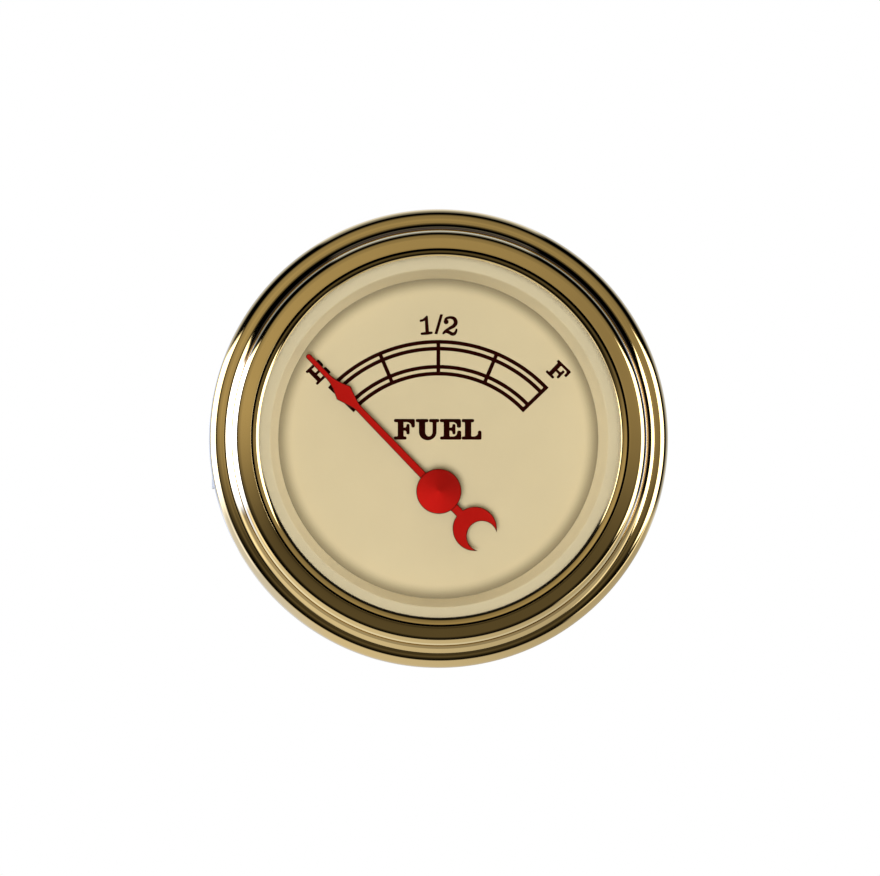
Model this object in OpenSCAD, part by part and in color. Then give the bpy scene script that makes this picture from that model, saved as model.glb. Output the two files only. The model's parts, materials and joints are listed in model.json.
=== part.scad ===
// Round dash fuel gauge with a needle movement, a clamp bracket and a push-in lamp.
// All sizes are in millimetres.
// It is laid out face up: the dial's right is X, its top is Y and its front is Z.
// Each piece is then turned so that the dial faces -Y and its top is +Z.
// Zero is the middle of the panel seat, the back face of the bezel.

/* [Case] */
// Wall of the barrel
case_wall = 0.8; // [0.6:0.1:1]
// Thickness of the back wall
back_t = 1; // [0.8:0.1:1.5]
// Depth from the panel seat to the back
case_depth = 29; // [28:0.5:40]
// Radius of the barrel's back edge
case_edge_r = 2; // [1.5:0.1:2.2]
// Thickness of the flange round the mouth
flange_t = 0.8; // [0.6:0.1:1.2]

/* [Bezel] */
// Outside diameter of the bezel
bezel_d = 60; // [56:0.5:66]
// How far the bezel reaches past the barrel
bezel_reach = 3.8; // [3.5:0.1:4.4]
// Width of the bezel's band from its outside to the window
bezel_band = 6.3; // [6:0.1:6.8]
// Thickness of the bezel's sheet
bezel_t = 0.6; // [0.5:0.05:0.7]
// Radius of the outer roll
outer_roll_r = 1.9; // [1.5:0.1:2.1]
// Radius of the hollow at the foot of the step
cove_r = 2.7; // [2.2:0.1:3.2]
// Radius of the inner roll at the top of the step
step_roll_r = 1.8; // [1.6:0.05:1.9]
// Slope at the foot of the step
foot_slope = 36; // [30:1:42]
// Steepest slope of the step
step_slope = 66; // [60:1:70]
// Slope where the inner roll meets the face inside it
shoulder_slope = 14; // [12:1:18]
// Slope of the face where it meets the crest
crest_slope = 12; // [8:1:12]
// Radius of the crest and of the lip that turns down to the glass
lip_r = 1.42; // [1.3:0.02:1.6]
// Distance from the window to the crest
lip_w = 0.95; // [0.8:0.05:1.1]
// Height of the crest above the glass
lip_rise = 1.1; // [1:0.05:1.3]
// Radius of the bezel's back edge
bezel_edge_r = 0.4; // [0.2:0.05:0.5]
// Space between the flange and the bezel's wall
flange_gap = 0.2; // [0.1:0.05:0.3]
// Space between the barrel and the turned-in back edge of the bezel
crimp_gap = 1; // [0.8:0.1:1.4]

/* [Lens] */
// Thickness of the glass
glass_t = 1.6; // [1:0.1:2.4]
// Space round the edge of the glass
glass_gap = 0.05; // [0.03:0.01:0.1]
// Bevel on the edge of the glass
glass_bevel = 0.15; // [0.05:0.05:0.25]
// Width of the gasket's seat on the flange
gasket_seat = 0.9; // [0.7:0.05:1.2]
// Thickness of the gasket's lip round the glass
gasket_lip_t = 0.7; // [0.5:0.05:0.8]
// How far the gasket's lip stays below the front of the glass
gasket_low = 0.3; // [0.1:0.1:0.6]

/* [Dial] */
// Height of the needle's pivot above the bottom of the dial's face
pivot_rise = 14.07; // [13:0.01:15]
// Thickness of the dial
dial_t = 0.8; // [0.5:0.1:1.2]
// How far the dial's face lies below the flange
dial_sink = 0.2; // [0.1:0.05:0.5]
// Space between the edge of the dial and the barrel
dial_gap = 0.6; // [0.4:0.05:0.8]
// Diameter of the hole for the hub
dial_hole_d = 3.4; // [2.6:0.1:4]

/* [Trim ring] */
// Width of the ring that shows inside the window
trim_w = 2.7; // [2.4:0.1:3]
// Height of the ring from the dial to the glass
trim_h = 3.4; // [3:0.1:5]
// Thickness of the ring's sheet
trim_t = 0.5; // [0.3:0.05:0.6]
// Width of the bevel between the dial and the ledge
trim_bevel_w = 1.1; // [0.8:0.05:1.4]
// Radius of the ledge's inner edge
trim_edge_r = 0.3; // [0.15:0.05:0.4]
// Drop of the ledge below the glass
trim_drop = 0.3; // [0.15:0.05:0.6]
// How far the ring reaches behind the bezel
trim_lap = 0.5; // [0.4:0.05:0.6]
// Width of the rim that meets the glass
trim_rim_w = 0.3; // [0.2:0.05:0.4]
// Space between the ring and the gasket
trim_gap = 0.2; // [0.1:0.05:0.3]

/* [Needle] */
// Angle of the needle at rest, to the left of straight up
needle_rest = 44; // [40:1:48]
// Furthest angle of the needle from straight up, either way
needle_end = 48; // [46:1:54]
// Space between the needle's tip and the ring's foot at that angle
tip_gap = 0.2; // [0.1:0.05:2]
// Thickness of the needle
needle_t = 0.3; // [0.2:0.05:0.5]
// Space between the dial and the needle
needle_gap = 1; // [0.7:0.05:1.4]
// Width of the needle at its hub
needle_root_w = 0.92; // [0.7:0.02:1.1]
// Width of the needle where its blade starts
needle_neck_w = 0.78; // [0.6:0.02:0.9]
// Width of the needle's tip
needle_tip_w = 0.62; // [0.5:0.02:0.8]
// Distance from the tip back to the start of the blade
blade_root = 9.5; // [8.5:0.1:10.5]
// Distance from the tip back to the shoulders of the blade
blade_back = 6.9; // [6.2:0.1:7.4]
// Distance from the tip back to the end of the blade
blade_tip = 4; // [3:0.1:4.6]
// Width across the shoulders of the blade
blade_w = 2.35; // [1.6:0.05:3]
// Length of the flat on each shoulder
blade_flat = 0.16; // [0.05:0.01:0.3]
// Distance from the pivot back to the centre of the crescent
moon_back = 6.8; // [6.2:0.05:7.2]
// Outer radius of the crescent
moon_r = 2.85; // [2.4:0.05:3]
// Distance from the pivot back to the centre of the crescent's cut
moon_cut_back = 8.14; // [7.8:0.02:8.6]
// Radius of the crescent's cut
moon_cut_r = 2.03; // [1.7:0.01:2.2]
// Width of the neck between the hub and the crescent
tail_w = 1.08; // [0.8:0.02:1.3]

/* [Hub] */
// Diameter of the hub
hub_d = 5.8; // [5:0.1:6.4]
// Height of the hub's straight rim
hub_rim_h = 0.5; // [0.3:0.05:0.8]
// Height of the hub's cone
hub_cone_h = 1.1; // [0.8:0.05:1.2]
// Diameter of the stem that goes down through the needle
hub_stem_d = 1.9; // [1.7:0.05:2.2]
// Length of the stem below the needle
hub_stem_low = 0.6; // [0.3:0.05:0.65]
// Depth of solid material over the staff's end
hub_cap = 0.7; // [0.4:0.05:0.9]

/* [Movement] */
// Diameter of the needle's staff
staff_d = 1; // [0.8:0.05:1.1]
// Running space between the staff and its bearings
run_gap = 0.03; // [0.02:0.005:0.05]
// Space between pieces that are pressed together
press_gap = 0.01; // [0.005:0.005:0.02]
// Diameter of the front bush
bush_d = 3; // [2.6:0.1:3.2]
// Diameter of the magnet rotor
rotor_d = 9.9; // [9:0.1:10.6]
// Thickness of the magnet rotor
rotor_t = 3.6; // [3:0.1:4.5]
// Space round the rotor
rotor_gap = 0.6; // [0.4:0.05:0.8]
// Space above and below the rotor
rotor_play = 0.7; // [0.5:0.05:0.9]
// Wall of the bobbin beside the rotor's chamber
bobbin_side = 1.65; // [1.4:0.05:1.8]
// Thickness of the bobbin's end walls
bobbin_wall = 1.4; // [1.2:0.1:1.6]
// Thickness of a coil's windings
coil_t = 1.4; // [1:0.05:1.5]
// Width of one half of a coil
coil_w = 3.06; // [2.8:0.02:3.3]
// Space between the front bush and a coil's near side
coil_side = 0.12; // [0.1:0.02:0.3]
// Space between the coils and the carrier
coil_gap = 0.6; // [0.4:0.05:1]
// Space between the coils and the bobbin's corner posts
corner_gap = 0.15; // [0.1:0.05:0.2]
// Diameter of the corner posts
corner_d = 2.2; // [2:0.05:2.3]
// Space between the coils' corners and the shield can
can_gap = 0.1; // [0.05:0.05:0.4]
// Wall of the shield can
can_wall = 0.6; // [0.4:0.05:0.6]
// Space between the coils and the can's floor
can_floor_gap = 1.2; // [0.8:0.05:2]
// Diameter of the rear jewel cup
jewel_d = 2.4; // [2.2:0.05:3]
// Depth of the staff's pivot in the jewel cup
pivot_deep = 0.7; // [0.4:0.05:0.9]
// Thickness of the solid floor of the jewel cup
jewel_floor = 0.9; // [0.6:0.05:1.2]
// Space between the zero magnet and the coils
zero_gap = 0.22; // [0.1:0.02:0.5]
// Thickness of the zero magnet
zero_t = 1.2; // [0.8:0.1:1.4]

/* [Carrier] */
// Thickness of the dial carrier
carrier_t = 1.6; // [1.4:0.1:2.2]
// Space between the carrier and the barrel
carrier_gap = 0.4; // [0.3:0.05:0.6]
// Distance from the carrier's posts to its edge
post_edge = 1.6; // [1.2:0.1:2]
// Diameter of the carrier's posts
post_d = 4.4; // [4:0.1:4.6]
// Angle of the two upper posts from the right
post_angle = 50; // [48:1:54]
// Diameter of the screws in the posts
post_screw_d = 2; // [1.8:0.1:2.4]
// Length of a post's screw inside the post
post_screw_in = 7; // [5:0.5:8]
// Diameter of the screw heads on the back
post_head_d = 4.6; // [4:0.1:5]
// Height of the screw heads on the back
post_head_h = 1.4; // [1:0.1:1.8]
// Diameter of the movement's screws
move_screw_d = 1.2; // [1:0.05:1.4]
// Length of the movement's screws under the head
move_screw_len = 5.2; // [4:0.1:5.6]
// Diameter of the movement's screw heads
move_head_d = 2.4; // [2:0.1:2.8]
// Height of the movement's screw heads
move_head_h = 0.6; // [0.4:0.05:0.8]
// Diameter of the lamp's window in the carrier
light_d = 11; // [9:0.5:12]

/* [Circuit board] */
// Thickness of the board
board_t = 1.6; // [1:0.1:2]
// Space between the shield can and the board
board_gap = 1.5; // [1.45:0.05:2]
// Space between the board and the barrel
board_edge_gap = 0.8; // [0.5:0.05:1]
// Space between the board's straight top edge and the lamp's shell
board_lamp_gap = 1.7; // [1:0.1:3]
// Diameter of the coil pins
pin_d = 0.8; // [0.6:0.05:0.9]
// Length of the coil pins behind the board
pin_out = 1.4; // [0.8:0.1:2]
// Diameter of a resistor
resistor_d = 2.4; // [1.8:0.1:2.6]
// Length of a resistor's body
resistor_len = 6.6; // [5:0.1:7]
// Distance between a resistor's leads
lead_pitch = 10; // [9:0.2:11]
// Diameter of the leads
lead_d = 0.6; // [0.5:0.05:0.8]
// Distance from the resistors to the board's edge at the side
resistor_edge = 5.4; // [5:0.1:6.4]

/* [Terminals] */
// Diameter of the terminal studs
term_d = 4; // [3.5:0.1:4.2]
// Distance between neighbouring terminals
term_pitch = 12.5; // [12:0.1:12.8]
// Distance of the terminals above the lowest of the carrier's posts
term_rise = 8.2; // [8:0.1:8.6]
// Length of the studs behind the case
term_out = 13; // [10:0.5:16]
// Height of the studs' heads
term_head_h = 1.2; // [0.8:0.05:1.3]
// Space between the studs and the pieces on them
term_gap = 0.05; // [0.03:0.01:0.1]
// Diameter of the spacers between the board and the back
spacer_d = 6.4; // [6:0.1:7]
// Diameter of the insulators' flanges
insulator_d = 10; // [9:0.1:11]
// Thickness of the insulators' flanges
insulator_t = 1; // [0.8:0.1:1.6]
// Diameter of the insulators' noses in the case
nose_d = 6.4; // [6:0.1:6.8]
// Outside diameter of the lock washers
lock_d = 7.4; // [7:0.1:8.4]
// Thickness of the lock washers
lock_t = 0.8; // [0.6:0.1:1.2]
// Width across the flats of the terminal nuts
term_nut_w = 7; // [6.6:0.1:8]
// Height of the terminal nuts
term_nut_h = 3.2; // [2.4:0.1:4]

/* [Lamp] */
// Distance from the lamp's shell to the barrel's wall
lamp_edge = 6.1; // [5.8:0.1:6.4]
// Outside diameter of the lamp holder's shell
shell_d = 9.6; // [9:0.1:9.8]
// Wall of the lamp holder's shell
shell_wall = 0.6; // [0.4:0.05:0.8]
// Depth of the shell inside the case
shell_in = 9; // [7:0.5:10]
// Diameter of the shell's flange
shell_flange_d = 13.2; // [12:0.1:13.6]
// Thickness of the shell's flange
shell_flange_t = 1; // [0.8:0.1:1.4]
// Space round the shell in the case's hole
shell_gap = 0.1; // [0.05:0.01:0.2]
// Space between the bulb's base and the shell
base_gap = 0.1; // [0.05:0.01:0.2]
// Length of the bulb's base
base_len = 6.4; // [5:0.1:6.8]
// How far the bulb's base stands out of the shell
base_proud = 0.5; // [0.2:0.1:1.5]
// Diameter of the bulb's glass
bulb_d = 7.2; // [6:0.1:8]
// Length of the bulb's glass
bulb_len = 8; // [6:0.1:10]
// Wall of the bulb's glass
bulb_wall = 0.5; // [0.4:0.05:0.7]
// Diameter of the filament's supports
filament_d = 0.4; // [0.3:0.05:0.6]
// Height of the filament in the bulb
filament_h = 4; // [3:0.1:5]
// Diameter of the holder's insulating body
holder_d = 10; // [9:0.1:11]
// Length of the holder's insulating body
holder_len = 6; // [4:0.1:8]
// Diameter of the centre contact
contact_d = 3; // [2:0.1:4]
// Width of the blades
blade_tab_w = 4.8; // [4:0.1:5]
// Thickness of the blades
blade_tab_t = 0.8; // [0.6:0.05:1]
// Distance between the blades
blade_tab_pitch = 5; // [4:0.1:5.4]
// Length of the blades behind the holder
blade_tab_out = 6; // [4:0.1:8]
// Depth of the blades inside the holder
blade_tab_in = 4; // [2:0.1:4.5]
// Space round the blades in the holder
blade_tab_gap = 0.05; // [0.03:0.01:0.1]

/* [Clamp] */
// Diameter of the mounting studs
stud_d = 4; // [3.5:0.1:4.2]
// Distance between the mounting studs
stud_span = 31; // [30.6:0.1:32]
// Length of the mounting studs behind the case
stud_out = 14; // [12:0.5:18]
// Diameter of the mounting studs' heads
stud_head_d = 7.6; // [7:0.1:8]
// Height of the mounting studs' heads
stud_head_h = 1.2; // [1:0.1:1.6]
// Space round the mounting studs in the case
stud_gap = 0.1; // [0.05:0.01:0.2]
// Thickness of the bracket's strap
strap_t = 1.6; // [1.2:0.1:2]
// Width of the bracket's strap
strap_w = 12; // [10:0.1:12.4]
// Outer radius of the strap's bends
strap_bend_r = 3; // [2.2:0.1:4]
// Radius of the feet's corners
foot_r = 2; // [1:0.1:3]
// Space between the barrel and the strap's legs
leg_gap = 1.1; // [1:0.05:1.3]
// Space for the panel between the bezel and the feet
panel_space = 6; // [5:0.1:8]
// Space between the case and the strap's bridge
bridge_gap = 2; // [1.9:0.1:4]
// Space round the studs in the strap
strap_hole_gap = 0.25; // [0.15:0.05:0.4]
// Outside diameter of the washers
washer_d = 9; // [8:0.1:10]
// Thickness of the washers
washer_t = 0.8; // [0.6:0.1:1.2]
// Space round the studs in the washers
washer_gap = 0.15; // [0.1:0.05:0.3]
// Diameter of the thumb nuts' knurled heads
thumb_d = 11; // [9:0.1:12]
// Height of the knurled heads
thumb_head_h = 4.4; // [3:0.1:6]
// Diameter of the thumb nuts' collars
thumb_collar_d = 7; // [6:0.1:8]
// Height of the thumb nuts' collars
thumb_collar_h = 2; // [1:0.1:3]
// Running space in the thumb nuts' threads
thread_gap = 0.05; // [0.03:0.01:0.08]
// Number of knurls round a thumb nut
knurls = 24; // [16:1:30]
// Depth of the knurls
knurl_deep = 0.35; // [0.2:0.05:0.5]

/* [Hidden] */
$fn = 72;
// Overrun of every cut past the face that it opens
cut = 1;

// Radii
bezel_r = bezel_d / 2;
case_r = bezel_r - bezel_reach;
case_in_r = case_r - case_wall;
flange_r = bezel_r - bezel_t - flange_gap;
crimp_r = case_r + crimp_gap;
window_r = bezel_r - bezel_band;
gasket_r = case_in_r + gasket_seat;
glass_r = gasket_r - gasket_lip_t - glass_gap;
dial_r = case_in_r - dial_gap;
carrier_r = case_in_r - carrier_gap;
board_r = case_in_r - board_edge_gap;
trim_r = window_r + trim_lap;
foot_r1 = window_r - trim_w;
coil_off = bush_d / 2 + coil_side;
bobbin_w = rotor_d + 2 * (rotor_gap + bobbin_side);
can_in_r = norm([bobbin_w / 2 + coil_t, coil_off + coil_w]) + can_gap;
can_r = can_in_r + can_wall;

// Heights along Z from the panel seat, front to back
flange_z = bezel_t + flange_t;
dial_z = flange_z - dial_sink;
glass_z = dial_z + trim_h;
glass_front = glass_z + glass_t;
crest_z = glass_front + lip_rise;
needle_z = dial_z + needle_gap;
hub_z = needle_z + needle_t;
hub_top = hub_z + hub_rim_h + hub_cone_h;
staff_top = hub_top - hub_cap;
carrier_front = dial_z - dial_t;
carrier_z = carrier_front - carrier_t;
coil_front = carrier_z - coil_gap;
bobbin_front_z = coil_front - 2 * coil_t;
chamber_front = bobbin_front_z - bobbin_wall;
chamber_back = chamber_front - rotor_t - 2 * rotor_play;
bobbin_mid = (chamber_front + chamber_back) / 2;
bobbin_back_z = chamber_back - bobbin_wall;
coil_back = bobbin_back_z - 2 * coil_t;
can_floor = coil_back - can_floor_gap;
can_back = can_floor - can_wall;
board_front = can_back - board_gap;
board_back = board_front - board_t;
case_back = -case_depth;
case_floor = case_back + back_t;
staff_end = chamber_back - pivot_deep;

// Places on the dial's plane
pivot_drop = foot_r1 - pivot_rise;
pivot = [0, -pivot_drop];
corner_off = coil_off + coil_w + corner_gap + corner_d / 2;
corners = [for (sx = [-1, 1], sy = [-1, 1]) pivot + corner_off * [sx, sy]];
post_off = carrier_r - post_edge - post_d / 2;
posts = [for (a = [post_angle, 180 - post_angle, 270]) post_off * [cos(a), sin(a)]];
term_drop = post_off - term_rise;
terminals = [for (i = [-1:1]) [i * term_pitch, -term_drop]];
studs = [for (side = [-1, 1]) [side * stud_span / 2, 0]];
shell_r = shell_d / 2;
lamp_rise = case_in_r - lamp_edge - shell_r;
lamp = [0, lamp_rise];
board_top = lamp_rise - shell_r - board_lamp_gap;
resistor_off = board_r - resistor_edge - resistor_d / 2;
resistor_places = [[-resistor_off, -1], [resistor_off, -1]];

// Reach of the needle's tip from its pivot
needle_len = pivot_drop * cos(needle_end)
    + sqrt(pow(foot_r1 - tip_gap, 2) - pow(pivot_drop * sin(needle_end), 2));

// Points round an arc from angle a0 to angle a1
function arc(c, r, a0, a1, n = 8) =
    [for (i = [0:n]) let (a = a0 + (a1 - a0) * i / n) c + r * [cos(a), sin(a)]];

// Points of a list in the other order
function backwards(list) = [for (i = [len(list) - 1:-1:0]) list[i]];

// Turns a piece from its layout, dial up, to its place, dial to the front
module placed() {
    rotate([90, 0, 0]) children();
}

// Moves a piece to a place on the dial's plane
module at(p) {
    translate([p[0], p[1], 0]) children();
}

// A rod between two heights
module rod(r, z0, z1) {
    translate([0, 0, min(z0, z1)]) cylinder(r = r, h = abs(z1 - z0));
}

// A hole between two heights that runs past both
module hole(r, z0, z1) {
    rod(r, min(z0, z1) - cut, max(z0, z1) + cut);
}

// A hole that is open at z1 only
module blind_hole(r, z0, z1) {
    rod(r, z0, z1 + sign(z1 - z0) * cut);
}

// A tube between two heights
module tube(r_out, r_in, z0, z1) {
    difference() {
        rod(r_out, z0, z1);
        hole(r_in, z0, z1);
    }
}

// A box that is centred on X and Y, between two heights
module block(x, y, z0, z1) {
    translate([-x / 2, -y / 2, min(z0, z1)]) cube([x, y, abs(z1 - z0)]);
}

// A six-sided bar between two heights, w across its flats
module hexagon(w, z0, z1) {
    translate([0, 0, min(z0, z1)]) cylinder(r = w / 2 / cos(30), h = abs(z1 - z0), $fn = 6);
}

// Case

module case_cup() {
    inner_edge_r = case_edge_r - case_wall;
    outline = concat(
        [[0, case_back]],
        arc([case_r - case_edge_r, case_back + case_edge_r], case_edge_r, -90, 0),
        [[case_r, bezel_t], [flange_r, bezel_t], [flange_r, flange_z], [case_in_r, flange_z]],
        arc([case_in_r - inner_edge_r, case_floor + inner_edge_r], inner_edge_r, 0, -90),
        [[0, case_floor]]);
    color("#2b2b2c") placed() difference() {
        rotate_extrude() polygon(outline);
        for (p = studs) at(p) hole(stud_d / 2 + stud_gap, case_back, case_floor);
        for (p = terminals) at(p) hole(nose_d / 2 + term_gap, case_back, case_floor);
        for (p = posts) at(p) hole(post_screw_d / 2 + stud_gap, case_back, case_floor);
        at(lamp) hole(shell_d / 2 + shell_gap, case_back, case_floor);
    }
}

// Bezel: an outer roll, a step up to an inner roll, a sloping face, a crest and a lip

module bezel() {
    cove_w = cove_r * (sin(step_slope) - sin(foot_slope));
    cove_h = cove_r * (cos(foot_slope) - cos(step_slope));
    step_w = step_roll_r * (sin(step_slope) - sin(shoulder_slope));
    step_h = step_roll_r * (cos(shoulder_slope) - cos(step_slope));
    lip_c = [window_r + lip_w, crest_z - lip_r];
    lip_end = 90 + asin(lip_w / lip_r);
    crest = lip_c + lip_r * [sin(crest_slope), cos(crest_slope)];
    foot_r0 = bezel_r - outer_roll_r;
    face_w = foot_r0 - cove_w - step_w - crest[0];
    face_h = face_w * tan((shoulder_slope + crest_slope) / 2);
    foot = [foot_r0, crest[1] - face_h - step_h - cove_h];
    outer_c = foot - [0, outer_roll_r];
    cove_c = foot + cove_r * [sin(foot_slope), cos(foot_slope)];
    knee = foot + [-cove_w, cove_h];
    step_c = knee - step_roll_r * [sin(step_slope), cos(step_slope)];
    outside = concat(
        [[crimp_r, 0]],
        arc([bezel_r - bezel_edge_r, bezel_edge_r], bezel_edge_r, -90, 0, 4),
        arc(outer_c, outer_roll_r, 0, 90, 12),
        arc(cove_c, cove_r, 270 - foot_slope, 270 - step_slope),
        arc(step_c, step_roll_r, 90 - step_slope, 90 - shoulder_slope, 10),
        arc(lip_c, lip_r, 90 - crest_slope, lip_end),
        [[window_r, glass_front]]);
    inside = concat(
        [[crimp_r, bezel_t], [bezel_r - bezel_t, bezel_t]],
        arc(outer_c, outer_roll_r - bezel_t, 0, 90),
        arc(cove_c, cove_r + bezel_t, 270 - foot_slope, 270 - step_slope),
        arc(step_c, step_roll_r - bezel_t, 90 - step_slope, 90 - shoulder_slope, 6),
        arc(lip_c, lip_r - bezel_t, 90 - crest_slope, lip_end, 4),
        [[window_r + bezel_t, glass_front]]);
    color("#c2a05a") placed() rotate_extrude() polygon(concat(outside, backwards(inside)));
}

// Lens

module lens_glass() {
    outline = [[0, glass_z], [glass_r - glass_bevel, glass_z], [glass_r, glass_z + glass_bevel],
        [glass_r, glass_front - glass_bevel], [glass_r - glass_bevel, glass_front],
        [0, glass_front]];
    color("#dfe8ea80") placed() rotate_extrude() polygon(outline);
}

module lens_gasket() {
    inner = trim_r + trim_gap;
    edge = glass_r + glass_gap;
    lip_z = glass_front - gasket_low;
    outline = [[inner, flange_z], [gasket_r, flange_z], [gasket_r, lip_z], [edge, lip_z],
        [edge, glass_z], [inner, glass_z]];
    color("#1d1d1d") placed() rotate_extrude() polygon(outline);
}

// Trim ring: a pressed channel with a bevel, a ledge and a rim under the glass

module trim_ring() {
    ledge_z = glass_z - trim_drop;
    corner_r = foot_r1 + trim_bevel_w;
    bevel = atan2(ledge_z - dial_z, trim_bevel_w);
    edge_c = [corner_r + trim_edge_r * tan(bevel / 2), ledge_z - trim_edge_r];
    under = ledge_z - trim_t;
    wall = trim_t / sin(bevel);
    outline = concat(
        [[foot_r1, dial_z]],
        arc(edge_c, trim_edge_r, 90 + bevel, 90, 5),
        [[trim_r - trim_rim_w - trim_drop / 3, ledge_z], [trim_r - trim_rim_w, glass_z],
            [trim_r, glass_z], [trim_r, dial_z], [trim_r - trim_t, dial_z],
            [trim_r - trim_t, under], [foot_r1 + wall + (under - dial_z) / tan(bevel), under],
            [foot_r1 + wall, dial_z]]);
    color("#d3c6a2") placed() rotate_extrude() polygon(outline);
}

// Dial and the carrier behind it

module dial_plate() {
    color("#d8c8a2") placed() difference() {
        rod(dial_r, carrier_front, dial_z);
        at(pivot) hole(dial_hole_d / 2, carrier_front, dial_z);
    }
}

module dial_carrier() {
    color("#e6e4dc") placed() difference() {
        union() {
            rod(carrier_r, carrier_z, carrier_front);
            for (p = posts) at(p) rod(post_d / 2, case_floor, carrier_z);
        }
        at(pivot) hole(bush_d / 2 + press_gap, carrier_z, carrier_front);
        at(lamp) hole(light_d / 2, carrier_z, carrier_front);
        for (p = corners) at(p) {
            hole(move_screw_d / 2 + stud_gap, carrier_z, carrier_front);
            blind_hole(move_head_d / 2 + stud_gap, carrier_front - move_head_h, carrier_front);
        }
        for (p = posts) at(p)
            blind_hole(post_screw_d / 2 + press_gap, case_floor + post_screw_in, case_floor);
    }
}

module carrier_screws() {
    slot_w = post_screw_d / 3;
    slot_deep = post_head_h / 2;
    head_z = case_back - post_head_h;
    color("#b9bcc0") placed() for (p = posts) at(p) difference() {
        union() {
            rod(post_screw_d / 2, case_back, case_floor + post_screw_in);
            rod(post_head_d / 2, head_z, case_back);
        }
        block(post_head_d + cut, slot_w, head_z - cut, head_z + slot_deep);
        block(slot_w, post_head_d + cut, head_z - cut, head_z + slot_deep);
    }
}

module movement_screws() {
    slot_deep = move_head_h / 2;
    color("#c9a54c") placed() for (p = corners) at(p) difference() {
        union() {
            rod(move_head_d / 2, carrier_front - move_head_h, carrier_front);
            rod(move_screw_d / 2, carrier_front - move_head_h - move_screw_len,
                carrier_front - move_head_h);
        }
        block(move_head_d + cut, move_screw_d / 3, carrier_front - slot_deep, carrier_front + cut);
    }
}

// Movement

module bobbin_half(z0, z1) {
    intersection() {
        block(bobbin_w, bobbin_w, z0, z1);
        rod(can_in_r - stud_gap, z0, z1);
    }
}

module corner_posts(r, z0, z1) {
    for (p = corners) at(p) rod(r, z0, z1);
}

module bobbin_front() {
    screw_end = carrier_front - move_head_h - move_screw_len;
    color("#e9e6da") placed() difference() {
        union() {
            at(pivot) bobbin_half(bobbin_mid, bobbin_front_z);
            corner_posts(corner_d / 2, bobbin_front_z, carrier_z);
        }
        at(pivot) blind_hole(rotor_d / 2 + rotor_gap, chamber_front, bobbin_mid);
        at(pivot) hole(bush_d / 2 + press_gap, chamber_front, bobbin_front_z);
        for (p = corners) at(p)
            blind_hole(move_screw_d / 2 + press_gap, screw_end, carrier_z);
    }
}

module bobbin_rear() {
    nose_r = corner_d / 2 - can_wall / 2;
    color("#e9e6da") placed() difference() {
        union() {
            at(pivot) bobbin_half(bobbin_back_z, bobbin_mid);
            corner_posts(corner_d / 2, can_floor, bobbin_back_z);
            corner_posts(nose_r, board_front, can_floor);
        }
        at(pivot) blind_hole(rotor_d / 2 + rotor_gap, chamber_back, bobbin_mid);
        at(pivot) hole(jewel_d / 2 + press_gap, bobbin_back_z, chamber_back);
        for (p = corners) at(p) blind_hole(pin_d / 2 + press_gap, coil_back, board_front);
    }
}

// One half of a coil: a square loop across X, from x0 to x1
module coil_half(x0, x1, half_y, z_back, z_front) {
    difference() {
        translate([x0, -half_y - coil_t, z_back - coil_t])
            cube([x1 - x0, 2 * (half_y + coil_t), z_front - z_back + 2 * coil_t]);
        translate([x0 - cut, -half_y, z_back])
            cube([x1 - x0 + 2 * cut, 2 * half_y, z_front - z_back]);
    }
}

module coil_inner() {
    color("#a8592c") placed() at(pivot) for (side = [0, 180]) rotate([0, 0, side])
        coil_half(coil_off, coil_off + coil_w, bobbin_w / 2, bobbin_back_z, bobbin_front_z);
}

module coil_outer() {
    color("#b5652f") placed() at(pivot) for (side = [90, 270]) rotate([0, 0, side])
        coil_half(coil_off, coil_off + coil_w, bobbin_w / 2,
            bobbin_back_z - coil_t, bobbin_front_z + coil_t);
}

module shield_can() {
    nose_r = corner_d / 2 - can_wall / 2;
    color("#9a9da1") placed() difference() {
        at(pivot) rod(can_r, can_back, coil_front);
        at(pivot) blind_hole(can_in_r, can_floor, coil_front);
        for (p = corners) at(p) hole(nose_r + term_gap, can_back, can_floor);
    }
}

module front_bush() {
    color("#c9a54c") placed() at(pivot)
        tube(bush_d / 2, staff_d / 2 + run_gap, chamber_front, carrier_front);
}

module rear_jewel() {
    cup_z = staff_end - jewel_floor;
    color("#c9a54c") placed() at(pivot) difference() {
        rod(jewel_d / 2, cup_z, chamber_back);
        blind_hole(staff_d / 2 + run_gap, staff_end, chamber_back);
    }
}

module zero_magnet() {
    zero_w = 2 * (coil_off - zero_gap);
    color("#4a4a4d") placed() at(pivot) translate([0, (bobbin_w + zero_t) / 2, 0])
        block(zero_w, zero_t, bobbin_mid - zero_w / 2, bobbin_mid + zero_w / 2);
}

// Circuit board

module circuit_board() {
    color("#2f6b3d") placed() difference() {
        intersection() {
            rod(board_r, board_back, board_front);
            translate([-board_r, board_top - 2 * board_r, board_back])
                cube([2 * board_r, 2 * board_r, board_t]);
        }
        at(posts[2]) hole(post_d / 2 + stud_gap, board_back, board_front);
        for (p = terminals) at(p) hole(term_d / 2 + term_gap, board_back, board_front);
        for (p = corners) at(p) hole(pin_d / 2 + press_gap, board_back, board_front);
    }
}

module resistors() {
    bar_z = board_back - resistor_d / 2;
    color("#c7a678") placed() for (p = resistor_places) at(p) translate([0, 0, bar_z]) {
        rotate([90, 0, 0]) rod(resistor_d / 2, -resistor_len / 2, resistor_len / 2);
        rotate([90, 0, 0]) rod(lead_d / 2, -lead_pitch / 2, lead_pitch / 2);
        for (side = [-1, 1]) translate([0, side * lead_pitch / 2, 0])
            rod(lead_d / 2, -lead_d / 2, resistor_d / 2);
    }
}

module coil_pins() {
    color("#c9a54c") placed() corner_posts(pin_d / 2, board_back - pin_out, coil_back);
}

// Terminals

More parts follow.
